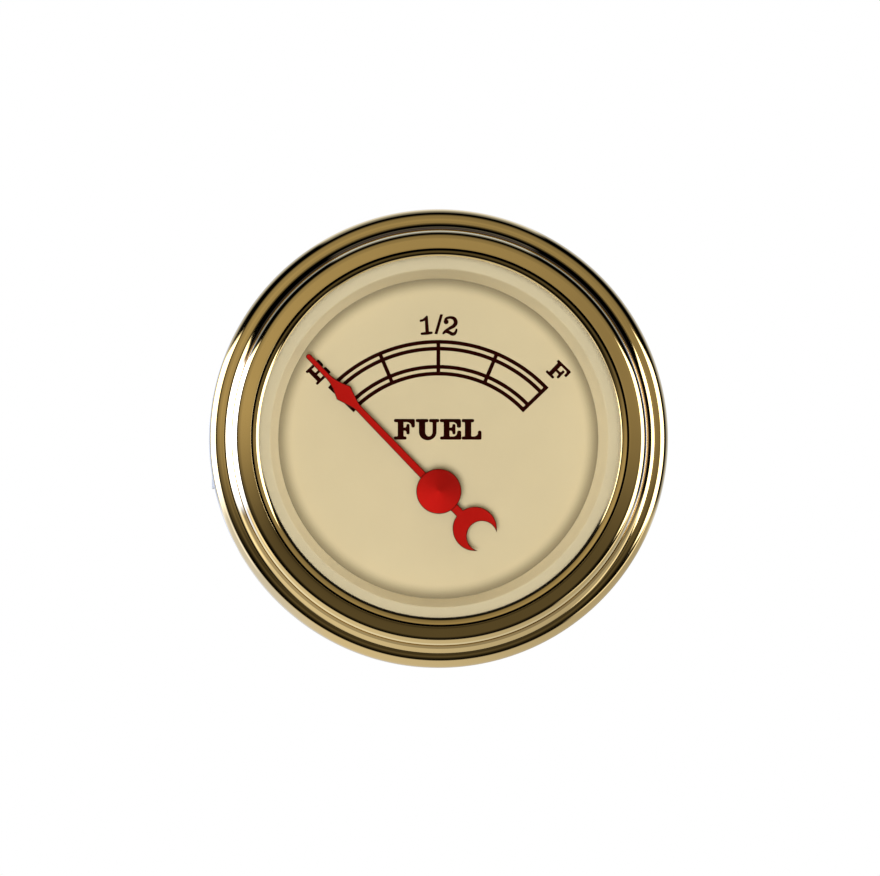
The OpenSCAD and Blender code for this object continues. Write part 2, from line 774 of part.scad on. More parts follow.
module terminal_studs() {
    color("#c9a54c") placed() for (p = terminals) at(p) {
        hexagon(term_nut_w, board_front, board_front + term_head_h);
        rod(term_d / 2, case_back - term_out, board_front);
    }
}

module terminal_spacers() {
    color("#3b2f26") placed() for (p = terminals) at(p)
        tube(spacer_d / 2, term_d / 2 + term_gap, case_floor, board_back);
}

module terminal_insulators() {
    color("#f0ede4") placed() for (p = terminals) at(p) difference() {
        union() {
            rod(insulator_d / 2, case_back - insulator_t, case_back);
            rod(nose_d / 2, case_back, case_floor);
        }
        hole(term_d / 2 + term_gap, case_back - insulator_t, case_floor);
    }
}

module terminal_lock_washers() {
    lock_z = case_back - insulator_t;
    color("#b9bcc0") placed() for (p = terminals) at(p)
        tube(lock_d / 2, term_d / 2 + term_gap, lock_z - lock_t, lock_z);
}

module terminal_nuts() {
    nut_z = case_back - insulator_t - lock_t;
    color("#c9a54c") placed() for (p = terminals) at(p) difference() {
        hexagon(term_nut_w, nut_z - term_nut_h, nut_z);
        hole(term_d / 2 + term_gap, nut_z - term_nut_h, nut_z);
    }
}

// Needle and its staff

// Half-width from w0 to w1 between t0 and t1, hollow where bend is over 1
function flare(t0, t1, w0, w1, bend, n = 6) =
    [for (i = [0:n]) let (u = i / n) [t0 + (t1 - t0) * u, w0 + (w1 - w0) * pow(u, bend)]];

module needle_outline() {
    shoulder = blade_flat / 2;
    blade_mid = needle_len - blade_back;
    half = concat(
        [[hub_d / 2 - 2 * needle_t, needle_root_w / 2]],
        flare(needle_len - blade_root, blade_mid - shoulder, needle_neck_w / 2, blade_w / 2, 1.2),
        backwards(flare(needle_len - blade_tip, blade_mid + shoulder,
            needle_tip_w / 2, blade_w / 2, 1.7)),
        arc([needle_len - needle_tip_w / 2, 0], needle_tip_w / 2, 90, 0, 6));
    difference() {
        union() {
            polygon(concat([for (p = half) [p[0], -p[1]]], backwards(half)));
            circle(r = hub_d / 2 - needle_t);
            translate([-moon_back, -tail_w / 2]) square([moon_back, tail_w]);
            translate([-moon_back, 0]) circle(r = moon_r);
        }
        translate([-moon_cut_back, 0]) circle(r = moon_cut_r);
        circle(r = hub_stem_d / 2 + press_gap);
    }
}

module needle() {
    color("#b01816") placed() at(pivot)
        translate([0, 0, needle_z]) rotate([0, 0, 90 + needle_rest])
            linear_extrude(height = needle_t) needle_outline();
}

module needle_hub() {
    hub_r = hub_d / 2;
    outline = [[0, needle_z - hub_stem_low], [hub_stem_d / 2, needle_z - hub_stem_low],
        [hub_stem_d / 2, hub_z], [hub_r, hub_z], [hub_r, hub_z + hub_rim_h], [0, hub_top]];
    color("#b01816") placed() at(pivot) difference() {
        rotate_extrude() polygon(outline);
        blind_hole(staff_d / 2 + press_gap, staff_top, needle_z - hub_stem_low);
    }
}

module needle_staff() {
    color("#b9bcc0") placed() at(pivot) rod(staff_d / 2, staff_end, staff_top);
}

module magnet_rotor() {
    color("#6e7074") placed() at(pivot)
        tube(rotor_d / 2, staff_d / 2 + press_gap, chamber_back + rotor_play,
            chamber_front - rotor_play);
}

// Lamp

shell_in_r = shell_r - shell_wall;
shell_top = case_back + shell_in;
base_top = shell_top + base_proud;
base_bottom = base_top - base_len;
holder_z = case_back - shell_flange_t;
contact_h = base_bottom - case_back;

module lamp_shell() {
    color("#c8c9c6") placed() at(lamp) difference() {
        union() {
            rod(shell_r, holder_z, shell_top);
            rod(shell_flange_d / 2, holder_z, case_back);
        }
        hole(shell_in_r, holder_z, shell_top);
    }
}

module lamp_body() {
    nose_top = case_back + contact_h / 2;
    color("#242424") placed() at(lamp) difference() {
        union() {
            rod(shell_in_r - base_gap, holder_z, nose_top);
            rod(holder_d / 2, holder_z - holder_len, holder_z);
        }
        for (side = [-1, 1]) translate([side * blade_tab_pitch / 2, 0, 0])
            block(blade_tab_t + 2 * blade_tab_gap, blade_tab_w + 2 * blade_tab_gap,
                holder_z - holder_len - cut, holder_z - holder_len + blade_tab_in);
    }
}

module lamp_blades() {
    blade_z = holder_z - holder_len;
    color("#c9a54c") placed() at(lamp) for (side = [-1, 1])
        translate([side * blade_tab_pitch / 2, 0, 0])
            block(blade_tab_t, blade_tab_w, blade_z - blade_tab_out, blade_z + blade_tab_in);
}

module lamp_contact() {
    color("#c9a54c") placed() at(lamp)
        rod(contact_d / 2, case_back + contact_h / 2, base_bottom);
}

module bulb_base() {
    color("#c8c9c6") placed() at(lamp) rod(shell_in_r - base_gap, base_bottom, base_top);
}

module bulb_glass() {
    r = bulb_d / 2;
    dome_z = base_top + bulb_len - r;
    color("#f2efe0a0") placed() at(lamp) difference() {
        union() {
            rod(r, base_top, dome_z);
            translate([0, 0, dome_z]) sphere(r = r);
        }
        blind_hole(r - bulb_wall, dome_z, base_top);
        translate([0, 0, dome_z]) sphere(r = r - bulb_wall);
    }
}

module bulb_filament() {
    reach = bulb_d / 4;
    wire_z = base_top + filament_h;
    color("#77797c") placed() at(lamp) {
        for (side = [-1, 1]) translate([side * reach, 0, 0])
            rod(filament_d / 2, base_top, wire_z);
        translate([0, 0, wire_z]) rotate([0, 90, 0])
            rod(filament_d / 2, -reach - filament_d / 2, reach + filament_d / 2);
    }
}

// Clamp

bridge_z = case_back - bridge_gap;
bridge_back = bridge_z - strap_t;
leg_x = case_r + leg_gap;
washer_back = bridge_back - washer_t;

module mounting_studs() {
    color("#b9bcc0") placed() for (p = studs) at(p) {
        rod(stud_head_d / 2, case_floor, case_floor + stud_head_h);
        rod(stud_d / 2, case_back - stud_out, case_floor);
    }
}

// The strap seen from below: a square U with round bends
module strap_outline() {
    far = leg_x + strap_t;
    bend_in = strap_bend_r - strap_t;
    legs_h = -panel_space - bridge_back - strap_bend_r;
    difference() {
        union() {
            translate([-far, bridge_back + strap_bend_r]) square([2 * far, legs_h]);
            translate([strap_bend_r - far, bridge_back])
                square([2 * (far - strap_bend_r), strap_bend_r]);
            for (side = [-1, 1])
                translate([side * (far - strap_bend_r), bridge_back + strap_bend_r])
                    circle(r = strap_bend_r);
        }
        translate([-leg_x, bridge_z + bend_in]) square([2 * leg_x, 2 * case_depth]);
        translate([bend_in - leg_x, bridge_z]) square([2 * (leg_x - bend_in), 2 * bend_in]);
        for (side = [-1, 1])
            translate([side * (leg_x - bend_in), bridge_z + bend_in]) circle(r = bend_in);
    }
}

// The strap seen from the side: its feet have round corners
module strap_side() {
    half_w = strap_w / 2;
    difference() {
        translate([-half_w, bridge_back - cut]) square([strap_w, -panel_space - bridge_back + cut]);
        for (side = [-1, 1]) difference() {
            translate([side * (half_w - foot_r / 2), -panel_space - foot_r / 2])
                square(foot_r + cut / 100, center = true);
            translate([side * (half_w - foot_r), -panel_space - foot_r]) circle(r = foot_r);
        }
    }
}

module clamp_bracket() {
    far = leg_x + strap_t;
    color("#b4b7ba") placed() difference() {
        intersection() {
            rotate([90, 0, 0]) translate([0, 0, -strap_w / 2])
                linear_extrude(height = strap_w) strap_outline();
            rotate([90, 0, 90]) translate([0, 0, -far - cut])
                linear_extrude(height = 2 * (far + cut)) strap_side();
        }
        for (p = studs) at(p) hole(stud_d / 2 + strap_hole_gap, bridge_back, bridge_z);
    }
}

module clamp_washers() {
    color("#c3c5c7") placed() for (p = studs) at(p)
        tube(washer_d / 2, stud_d / 2 + washer_gap, washer_back, bridge_back);
}

module thumb_nut() {
    head_z = washer_back - thumb_collar_h;
    nut_back = head_z - thumb_head_h;
    difference() {
        union() {
            rod(thumb_collar_d / 2, head_z, washer_back);
            difference() {
                rod(thumb_d / 2, nut_back, head_z);
                for (i = [0:knurls - 1]) rotate([0, 0, 360 * i / knurls])
                    translate([thumb_d / 2, 0, 0]) rotate([0, 0, 45])
                        block(knurl_deep * sqrt(2), knurl_deep * sqrt(2), nut_back - cut, head_z + cut);
            }
        }
        hole(stud_d / 2 + thread_gap, nut_back, washer_back);
    }
}

module thumb_nut_left() {
    color("#b08d3f") placed() at(studs[0]) thumb_nut();
}

module thumb_nut_right() {
    color("#b08d3f") placed() at(studs[1]) thumb_nut();
}

case_cup();
bezel();
lens_glass();
lens_gasket();
trim_ring();
dial_plate();
dial_carrier();
carrier_screws();
movement_screws();
bobbin_front();
bobbin_rear();
coil_inner();
coil_outer();
shield_can();
front_bush();
rear_jewel();
zero_magnet();
circuit_board();
resistors();
coil_pins();
terminal_studs();
terminal_spacers();
terminal_insulators();
terminal_lock_washers();
terminal_nuts();
mounting_studs();
needle();
needle_hub();
needle_staff();
magnet_rotor();
lamp_shell();
lamp_body();
lamp_blades();
lamp_contact();
bulb_base();
bulb_glass();
bulb_filament();
clamp_bracket();
clamp_washers();
thumb_nut_left();
thumb_nut_right();
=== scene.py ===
"""Looks of the round dash fuel gauge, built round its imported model.

Shapes are laid out in mm on the dial's plane: x to the right, y up, z out towards the viewer.
world() moves them to the frame, in m. Materials, light and camera are in m.
"""

import json
from math import asin, atan2, cos, degrees, pi, radians, sin, tan

import bmesh
import bpy
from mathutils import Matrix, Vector
from mathutils.geometry import delaunay_2d_cdt

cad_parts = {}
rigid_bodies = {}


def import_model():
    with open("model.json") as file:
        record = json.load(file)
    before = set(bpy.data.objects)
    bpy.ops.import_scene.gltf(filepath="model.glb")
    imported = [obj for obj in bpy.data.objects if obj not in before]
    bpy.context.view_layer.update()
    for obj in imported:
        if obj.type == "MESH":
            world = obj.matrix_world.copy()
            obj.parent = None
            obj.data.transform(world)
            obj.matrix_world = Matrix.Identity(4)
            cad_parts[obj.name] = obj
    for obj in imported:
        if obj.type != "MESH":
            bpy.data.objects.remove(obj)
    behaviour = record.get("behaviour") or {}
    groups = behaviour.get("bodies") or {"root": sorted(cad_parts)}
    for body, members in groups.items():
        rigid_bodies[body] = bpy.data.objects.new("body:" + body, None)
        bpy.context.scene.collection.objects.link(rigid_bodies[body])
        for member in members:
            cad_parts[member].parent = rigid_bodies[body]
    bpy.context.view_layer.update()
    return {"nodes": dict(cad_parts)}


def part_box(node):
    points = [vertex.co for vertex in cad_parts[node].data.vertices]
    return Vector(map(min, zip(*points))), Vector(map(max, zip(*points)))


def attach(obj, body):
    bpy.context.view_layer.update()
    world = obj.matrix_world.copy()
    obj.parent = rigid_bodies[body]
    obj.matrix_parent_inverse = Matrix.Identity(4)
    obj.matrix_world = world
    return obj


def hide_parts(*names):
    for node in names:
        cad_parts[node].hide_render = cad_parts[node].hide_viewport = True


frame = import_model()
NODES = frame["nodes"]
MM = 0.001

# Sizes that the pieces share with the solids
PIVOT = (0.0, -6.93)
DIAL_Z = 1.2
GLASS_BACK, GLASS_FRONT = 4.6, 6.2
BEZEL_R, WINDOW_R = 30.0, 23.7
STUDS = [(-15.5, 0.0), (15.5, 0.0)]
TERMINALS = [(-12.5, -13.0), (0.0, -13.0), (12.5, -13.0)]
# Size of a pixel of the photograph at the dial, and the pixel of the gauge's middle
PX = 0.1308
MIDDLE_PX = (438.4, 438.6)


# ---------------------------------------------------------------- node trees

class Tree:
    """A node tree under construction."""

    def __init__(self, owner):
        owner.use_nodes = True
        self.tree = owner.node_tree
        self.tree.nodes.clear()

    def add(self, kind, inputs=None, out=0, **settings):
        """Adds a node, sets or links its inputs, and returns one of its outputs."""
        node = self.tree.nodes.new("ShaderNode" + kind)
        for key, value in settings.items():
            setattr(node, key, value)
        for key, value in (inputs or {}).items():
            if isinstance(value, bpy.types.NodeSocket):
                self.tree.links.new(value, node.inputs[key])
            else:
                node.inputs[key].default_value = value
        return node.outputs[out] if len(node.outputs) else None

    def math(self, operation, *values):
        return self.add("Math", dict(enumerate(values)), operation=operation)

    def product(self, result, *others):
        for value in others:
            result = self.math("MULTIPLY", result, value)
        return result

    def total(self, *terms, start=0.0):
        """A start plus values, each times its weight."""
        for value, weight in terms:
            start = self.math("ADD", self.math("MULTIPLY", value, weight), start)
        return start

    def blend(self, factor, a, b, mode="MIX"):
        """Mixes two colours, which the Mix node takes at inputs 6 and 7, its result at output 2."""
        inputs = {0: factor, 6: rgba(a), 7: rgba(b)}
        return self.add("Mix", inputs, 2, data_type="RGBA", blend_type=mode)

    def step(self, value, start, end, low=0.0, high=1.0):
        """Goes smoothly from low to high while the value goes from start to end."""
        inputs = {"Value": value, "From Min": start, "From Max": end, "To Min": low, "To Max": high}
        return self.add("MapRange", inputs, interpolation_type="SMOOTHSTEP")

    def noise(self, place, scale, detail, rough=0.5):
        inputs = {"Vector": place, "Scale": scale, "Detail": detail, "Roughness": rough}
        return self.add("TexNoise", inputs)

    def stretch(self, place, factors):
        """A place with each coordinate multiplied."""
        return self.add("VectorMath", {0: place, 1: factors}, operation="MULTIPLY")

    def coordinate(self, place, axis):
        return self.add("SeparateXYZ", {0: place}, axis)

    def place(self):
        """The shaded place, in m from the piece's origin, along the frame's axes."""
        return self.add("TexCoord", out="Object")


def rgba(colour):
    """A colour as a node's input takes it."""
    return colour if isinstance(colour, bpy.types.NodeSocket) else (*colour, 1.0)


# Where most values of one noise lie, and of two noises added
NOISE_SPAN, SUM_SPAN = (0.3, 0.7), (0.7, 1.3)
# Worn specks: scale beside the grain's, the noise's span in which they come up, and strength
SPECK_SCALE, SPECK_SPAN, SPECK_STRENGTH = 0.13, (0.62, 0.72), 0.35
# Parallel ridges: height beside the pitch, the grain's share in it, and the shadow between them
RIDGE_HEIGHT, RIDGE_GRAIN, RIDGE_SHADOW, SHADOW_TONE = 0.2, 0.2, 0.55, 0.25
LEAST_ROUGH, COAT_ROUGH = 0.02, 0.08


def surface(name, colour, rough, metal=0.0, blotch=(250.0, 0.05), rough_spread=0.06,
            grain=(5000.0, 2e-6), along=(1.0, 1.0, 1.0), coat=0.0, specular=0.5, wear_and_painted_highlight=None,
            pattern=None, bands=None):
    """A finish with broad blotches of tone, a fine grain and an uneven gloss.

    blotch is the scale and depth of the tone's noise, grain the scale and height of the bumps,
    along stretches the grain, wear_and_painted_highlight is a colour for faint worn specks,
    pattern paints over the colour, and bands are the axis and pitch of fine parallel ridges
    such as windings.
    """
    made = bpy.data.materials.new(name)
    t = Tree(made)
    place = t.place()
    blotch_scale, blotch_depth = blotch
    grain_scale, bump_height = grain
    broad = t.noise(place, blotch_scale, 4.0, 0.55)
    tone = t.step(broad, *NOISE_SPAN, 1 - blotch_depth, 1 + blotch_depth)
    base = t.blend(1.0, colour, t.add("CombineColor", {0: tone, 1: tone, 2: tone}), "MULTIPLY")
    if pattern:
        base = pattern(t, place, base)
    drawn = t.stretch(place, along)
    fine = t.noise(drawn, grain_scale, 3.0, 0.6)
    if wear_and_painted_highlight:
        specks = t.noise(drawn, grain_scale * SPECK_SCALE, 5.0, 0.7)
        base = t.blend(t.step(specks, *SPECK_SPAN, 0.0, SPECK_STRENGTH), base, wear_and_painted_highlight)
    gloss = t.step(t.math("ADD", broad, fine), *SUM_SPAN,
                   max(LEAST_ROUGH, rough - rough_spread), rough + rough_spread)
    bumps = fine
    if bands:
        axis, pitch = bands
        wave = t.math("SINE", t.math("MULTIPLY", t.coordinate(place, axis), 2 * pi / pitch))
        bumps = t.math("ADD", wave, t.math("MULTIPLY", fine, RIDGE_GRAIN))
        bump_height = pitch * RIDGE_HEIGHT
        base = t.blend(t.step(wave, -1.0, -0.2, RIDGE_SHADOW, 0.0), base,
                       tuple(c * SHADOW_TONE for c in colour))
    normal = t.add("Bump", {"Strength": 1.0, "Distance": bump_height, "Height": bumps})
    shader = t.add("BsdfPrincipled", {
        "Base Color": base, "Roughness": gloss, "Metallic": metal, "Normal": normal,
        "Specular IOR Level": specular, "Coat Weight": coat, "Coat Roughness": COAT_ROUGH})
    t.add("OutputMaterial", {"Surface": shader})
    return made


def clear(name, tint, smear, haze):
    """Clear glass: it lets light through, mirrors at a slant, and has a faint film of smears."""
    made = bpy.data.materials.new(name)
    t = Tree(made)
    place = t.place()
    film = t.noise(place, 120.0, 5.0, 0.6)
    through = t.add("BsdfTransparent", {"Color": rgba(tint)})
    mirror = t.add("BsdfGlossy", {"Roughness": t.step(film, 0.35, 0.7, 0.0, smear)})
    bounce = t.add("Fresnel", {"IOR": 1.45})
    glass = t.add("MixShader", {0: bounce, 1: through, 2: mirror})
    dust = t.add("BsdfDiffuse", {"Color": rgba((0.8, 0.8, 0.78))})
    specks = t.step(t.noise(place, 2600.0, 2.0), 0.66, 0.75, 0.0, haze)
    t.add("OutputMaterial", {"Surface": t.add("MixShader", {0: specks, 1: glass, 2: dust})})
    return made


# ---------------------------------------------------------------- patterns

def round_axis(t, place):
    """The distance from the dial's axis, and the two parts of the direction from it."""
    radius = t.add("VectorMath", {0: t.stretch(place, (1.0, 0.0, 1.0))}, 1, operation="LENGTH")
    divisor = t.math("ADD", radius, 1e-6)
    side, up = (t.math("DIVIDE", t.coordinate(place, axis), divisor) for axis in "XZ")
    return radius, side, up


def stripe(t, value, middle, full, faded):
    """1 where a value is within full of a middle one, and 0 where it's more than faded away."""
    off = t.math("ABSOLUTE", t.math("SUBTRACT", value, middle))
    return t.step(off, full, faded, 1.0, 0.0)


def dial_painted_shade(t, place, base):
    """Painted shade: the dial's cream is painted darker where it meets the ring, as the ring's
    shadow.
    """
    radius, _, _ = round_axis(t, place)
    ring_painted_shade = t.step(radius, 0.0190, 0.0211, 0.0, 0.64)
    return t.blend(ring_painted_shade, base, (0.03, 0.018, 0.0))


def bezel_painted_light(t, place, base):
    """Painted light on the gold: painted shade in the crest's groove and the step's corner,
    a painted highlight line and patch on the step, and a paler painted reflection below left.
    """
    radius, side, up = round_axis(t, place)
    # Painted shade, near black, in the crest's groove
    groove_painted_shade = stripe(t, radius, 0.02456, 0.00012, 0.00017)
    base = t.blend(groove_painted_shade, base, (0.004, 0.003, 0.002))
    # A painted highlight: a fine pale line on the step, whiter at the left and the right
    tone = t.blend(t.step(up, -0.8, -0.5), (1.0, 0.82, 0.46), (1.0, 0.86, 0.52))
    tone = t.blend(t.step(t.math("ABSOLUTE", side), 0.86, 0.93), tone, (0.97, 0.97, 1.0))
    base = t.blend(stripe(t, radius, 0.02700, 0.00008, 0.00016), base, tone)
    # Painted shade in the step's corner, fainter in the lower part
    tone = t.blend(t.step(up, -0.5, -0.2), (0.43, 0.31, 0.13), (0.15, 0.09, 0.04))
    base = t.blend(stripe(t, radius, 0.02736, 0.00014, 0.00022), base, tone)
    # A near-white painted highlight that hides both at the left
    wear_and_painted_highlight = t.product(t.step(side, -0.955, -0.925, 1.0, 0.0),
                     stripe(t, radius, 0.02722, 0.00060, 0.00072))
    base = t.blend(wear_and_painted_highlight, base, (0.97, 0.96, 0.94))
    # A paler, less yellow painted reflection on the outer roll at the lower left
    lower_left = t.total((side, -0.9), (up, -0.43))
    pale_painted_reflection = t.product(t.step(lower_left, 0.76, 0.98), t.step(radius, 0.02915, 0.02930))
    return t.blend(pale_painted_reflection, base, (0.72, 0.61, 0.41))


def trim_painted_light(t, place, base):
    """Painted light on the ring: its cream is painted paler near its foot, lifting the shade there,
    and its rim is painted dark below as the bezel's shadow.
    """
    radius, side, up = round_axis(t, place)
    # Painted light: paler near the foot
    foot = t.step(radius, 0.0209, 0.0219, 1.0, 0.0)
    base = t.blend(foot, base, (0.79, 0.68, 0.455))
    # The painted shadow is a little wider at the left, and begins a little higher there
    reach = t.total((side, -0.00008), start=radius)
    height = t.total((side, 0.1), start=up)
    rim_painted_shadow = t.product(t.step(reach, 0.02340, 0.02352), t.step(height, -0.42, -0.22, 1.0, 0.0))
    return t.blend(rim_painted_shadow, base, (0.006, 0.003, 0.001))


def edge_painted_shade(front):
    """Painted shade: the edges, which lie below the piece's front, in m, are painted dark."""
    def pattern(t, place, base):
        edge = t.step(t.coordinate(place, "Y"), -front + 1e-5, -front + 4e-5)
        return t.blend(edge, base, (0.055, 0.008, 0.006))
    return pattern


def resistor_rings(t, place, base):
    """Coloured rings round a resistor's body."""
    height = t.coordinate(place, "Z")
    for middle, colour in ((0.0012, (0.25, 0.07, 0.02)), (0.0002, (0.02, 0.02, 0.02)),
                           (-0.0008, (0.5, 0.08, 0.02)), (-0.0034, (0.55, 0.4, 0.12))):
        base = t.blend(stripe(t, height, middle, 0.00026, 0.00032), base, colour)
    return base


# ---------------------------------------------------------------- materials

STEEL = (0.60, 0.61, 0.62)
BRASS = (0.74, 0.56, 0.25)
FINISHES = {
    "case_black": dict(colour=(0.022, 0.022, 0.024), rough=0.38, blotch=(180.0, 0.12),
                       grain=(2600.0, 1.2e-5), rough_spread=0.07),
    # The gold carries painted shade, painted highlights and a painted reflection from its pattern
    "bezel_gold": dict(colour=(0.80, 0.60, 0.28), rough=0.055, metal=1.0, blotch=(160.0, 0.015),
                       grain=(9000.0, 1.5e-8), rough_spread=0.015, pattern=bezel_painted_light),
    "gasket_rubber": dict(colour=(0.02, 0.02, 0.02), rough=0.75, grain=(7000.0, 6e-6)),
    # The ring's finish has painted light near its foot and a painted shadow on its rim
    "trim_cream": dict(colour=(0.70, 0.60, 0.40), rough=0.42, blotch=(120.0, 0.02),
                       grain=(3500.0, 2e-6), specular=0.35, pattern=trim_painted_light),
    # The dial's finish has the ring's shadow painted on its rim
    "dial_cream": dict(colour=(0.72, 0.61, 0.39), rough=0.62, blotch=(90.0, 0.022),
                       grain=(6500.0, 2.5e-6), specular=0.25, pattern=dial_painted_shade),
    "carrier_white": dict(colour=(0.78, 0.77, 0.72), rough=0.5, grain=(4000.0, 5e-6)),
    "screw_steel": dict(colour=(0.62, 0.63, 0.64), rough=0.3, metal=1.0, blotch=(900.0, 0.1),
                        grain=(9000.0, 1e-6), wear_and_painted_highlight=(0.3, 0.28, 0.25)),
    "screw_brass": dict(colour=(0.72, 0.55, 0.24), rough=0.28, metal=1.0, grain=(9000.0, 1e-6)),
    "bobbin_ivory": dict(colour=(0.8, 0.77, 0.68), rough=0.5, grain=(4000.0, 4e-6)),
    "coil_copper": dict(colour=(0.6, 0.26, 0.12), rough=0.3, metal=1.0, bands=("X", 0.00016)),
    "can_steel": dict(colour=(0.55, 0.56, 0.57), rough=0.34, metal=1.0, along=(1.0, 0.1, 1.0),
                      grain=(8000.0, 1.5e-6)),
    "bearing_brass": dict(colour=BRASS, rough=0.25, metal=1.0, along=(0.15, 1.0, 0.15)),
    "magnet_dark": dict(colour=(0.14, 0.14, 0.15), rough=0.55, metal=0.7, grain=(9000.0, 6e-6)),
    "board_green": dict(colour=(0.05, 0.2, 0.09), rough=0.3, blotch=(700.0, 0.2),
                        grain=(2500.0, 3e-6)),
    "resistor_tan": dict(colour=(0.56, 0.4, 0.22), rough=0.35, pattern=resistor_rings, coat=0.4),
    "pin_brass": dict(colour=(0.74, 0.6, 0.32), rough=0.3, metal=1.0),
    "terminal_brass": dict(colour=BRASS, rough=0.24, metal=1.0, blotch=(700.0, 0.09),
                           grain=(7000.0, 1.5e-6), along=(1.0, 0.2, 1.0), wear_and_painted_highlight=(0.42, 0.28, 0.12)),
    "spacer_brown": dict(colour=(0.1, 0.05, 0.03), rough=0.6, grain=(3000.0, 6e-6)),
    "insulator_white": dict(colour=(0.80, 0.78, 0.71), rough=0.38, blotch=(500.0, 0.04),
                            grain=(3000.0, 4e-6)),
    "washer_zinc": dict(colour=(0.64, 0.65, 0.66), rough=0.3, metal=1.0, blotch=(800.0, 0.1),
                        grain=(8000.0, 1.5e-6)),
    "stud_zinc": dict(colour=STEEL, rough=0.27, metal=1.0, blotch=(900.0, 0.1),
                      grain=(8000.0, 1e-6), along=(1.0, 0.2, 1.0)),
    # The needle and the hub have painted shade on their edges
    "needle_red": dict(colour=(0.46, 0.0075, 0.0050), rough=0.5, blotch=(400.0, 0.03),
                       grain=(5200.0, 2.5e-6), specular=0.12, pattern=edge_painted_shade(0.0025)),
    "hub_red": dict(colour=(0.47, 0.0080, 0.0058), rough=0.45, blotch=(300.0, 0.03),
                    grain=(4200.0, 3e-6), specular=0.12, pattern=edge_painted_shade(0.00296)),
    "staff_steel": dict(colour=STEEL, rough=0.2, metal=1.0, along=(1.0, 0.1, 1.0)),
    "lamp_nickel": dict(colour=(0.66, 0.65, 0.61), rough=0.2, metal=1.0, blotch=(500.0, 0.06),
                        grain=(6000.0, 1e-6), wear_and_painted_highlight=(0.45, 0.36, 0.2)),
    "lamp_black": dict(colour=(0.028, 0.028, 0.03), rough=0.5, blotch=(500.0, 0.15),
                       grain=(4000.0, 8e-6)),
    "filament_grey": dict(colour=(0.3, 0.3, 0.31), rough=0.35, metal=1.0),
    "bracket_zinc": dict(colour=(0.60, 0.615, 0.63), rough=0.35, metal=1.0, blotch=(150.0, 0.06),
                         grain=(2600.0, 2e-6), along=(0.1, 0.1, 1.0), rough_spread=0.05,
                         wear_and_painted_highlight=(0.52, 0.52, 0.50)),
    "thumb_brass": dict(colour=(0.72, 0.55, 0.26), rough=0.27, metal=1.0, blotch=(500.0, 0.08),
                        grain=(6000.0, 2e-6), wear_and_painted_highlight=(0.42, 0.28, 0.12)),
}
SLOTS = {name: surface(name, **look) for name, look in FINISHES.items()}
SLOTS["lens_clear"] = clear("lens_clear", (0.985, 0.99, 0.985), 0.012, 0.012)
SLOTS["bulb_clear"] = clear("bulb_clear", (0.97, 0.97, 0.95), 0.02, 0.02)
INK = surface("dial_ink", (0.017, 0.0006, 0.0), 0.6, blotch=(900.0, 0.12),
              grain=(8000.0, 1.5e-6), specular=0.06)

for node in NODES.values():
    for index, used in enumerate(node.data.materials):
        node.data.materials[index] = SLOTS[used.name.split(".")[0]]


# ---------------------------------------------------------------- meshes

def world(x, y, z):
    """From the dial's plane and its front, in mm, to the frame, in m."""
    return Vector((x, -z, y)) * MM


def added(name, data):
    """A new object in the scene."""
    made = bpy.data.objects.new(name, data)
    bpy.context.scene.collection.objects.link(made)
    return made


def piece(name, points, faces, body, slot, stands_for=(), paint=None, sharp=28.0):
    """A closed mesh that rides on a body; its edges are sharp from an angle in degrees."""
    mesh = bpy.data.meshes.new(name)
    mesh.from_pydata([world(*p) for p in points], [], faces)
    bm = bmesh.new()
    bm.from_mesh(mesh)
    bmesh.ops.remove_doubles(bm, verts=bm.verts, dist=2e-7)
    bmesh.ops.recalc_face_normals(bm, faces=bm.faces)
    for face in bm.faces:
        face.smooth = True
    for edge in bm.edges:
        edge.smooth = edge.calc_face_angle(0.0) < radians(sharp)
    bm.to_mesh(mesh)
    bm.free()
    made = added(name, mesh)
    mesh.materials.append(paint or SLOTS[slot])
    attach(made, body)
    if stands_for:
        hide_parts(*stands_for)
    return made


def joined(*parts):
    """Several lists of points and faces as one."""
    points, faces = [], []
    for more_points, more_faces in parts:
        start = len(points)
        points += more_points
        faces += [tuple(i + start for i in face) for face in more_faces]
    return points, faces


def skin(turns, count, closed=True, on_axis=()):
    """Faces between sections of as many points, which follow each other round a turn.

    Between two neighbours of a section that both lie on the axis there is none.
    """
    faces = []
    for i in range(turns):
        j = (i + 1) % turns if closed else i + 1
        for k in range(count):
            m = (k + 1) % count
            if not (k in on_axis and m in on_axis):
                faces.append((i * count + k, j * count + k, j * count + m, i * count + m))
    return faces


def lathe(outline, centre=(0.0, 0.0), turns=360, shape=None):
    """A closed outline of radius and height, turned round a centre on the dial's plane."""
    points = []
    for i in range(turns):
        a = 2 * pi * i / turns
        for r, z in outline:
            r = shape(a, r, z) if shape else r
            points.append((centre[0] + r * cos(a), centre[1] + r * sin(a), z))
    on_axis = [k for k, (r, _) in enumerate(outline) if r == 0]
    return points, skin(turns, len(outline), on_axis=on_axis)


def arc(centre, r, start, end, steps):
    """Points round an arc, its angles in degrees."""
    angles = [radians(start + (end - start) * i / steps) for i in range(steps + 1)]
    return [(centre[0] + r * cos(a), centre[1] + r * sin(a)) for a in angles]


def neighbours(ring):
    """Each item of a closed ring with the next one."""
    return zip(ring, [*ring[1:], ring[0]])


def anticlockwise(outline):
    return sum(a[0] * b[1] - b[0] * a[1] for a, b in neighbours(outline)) > 0


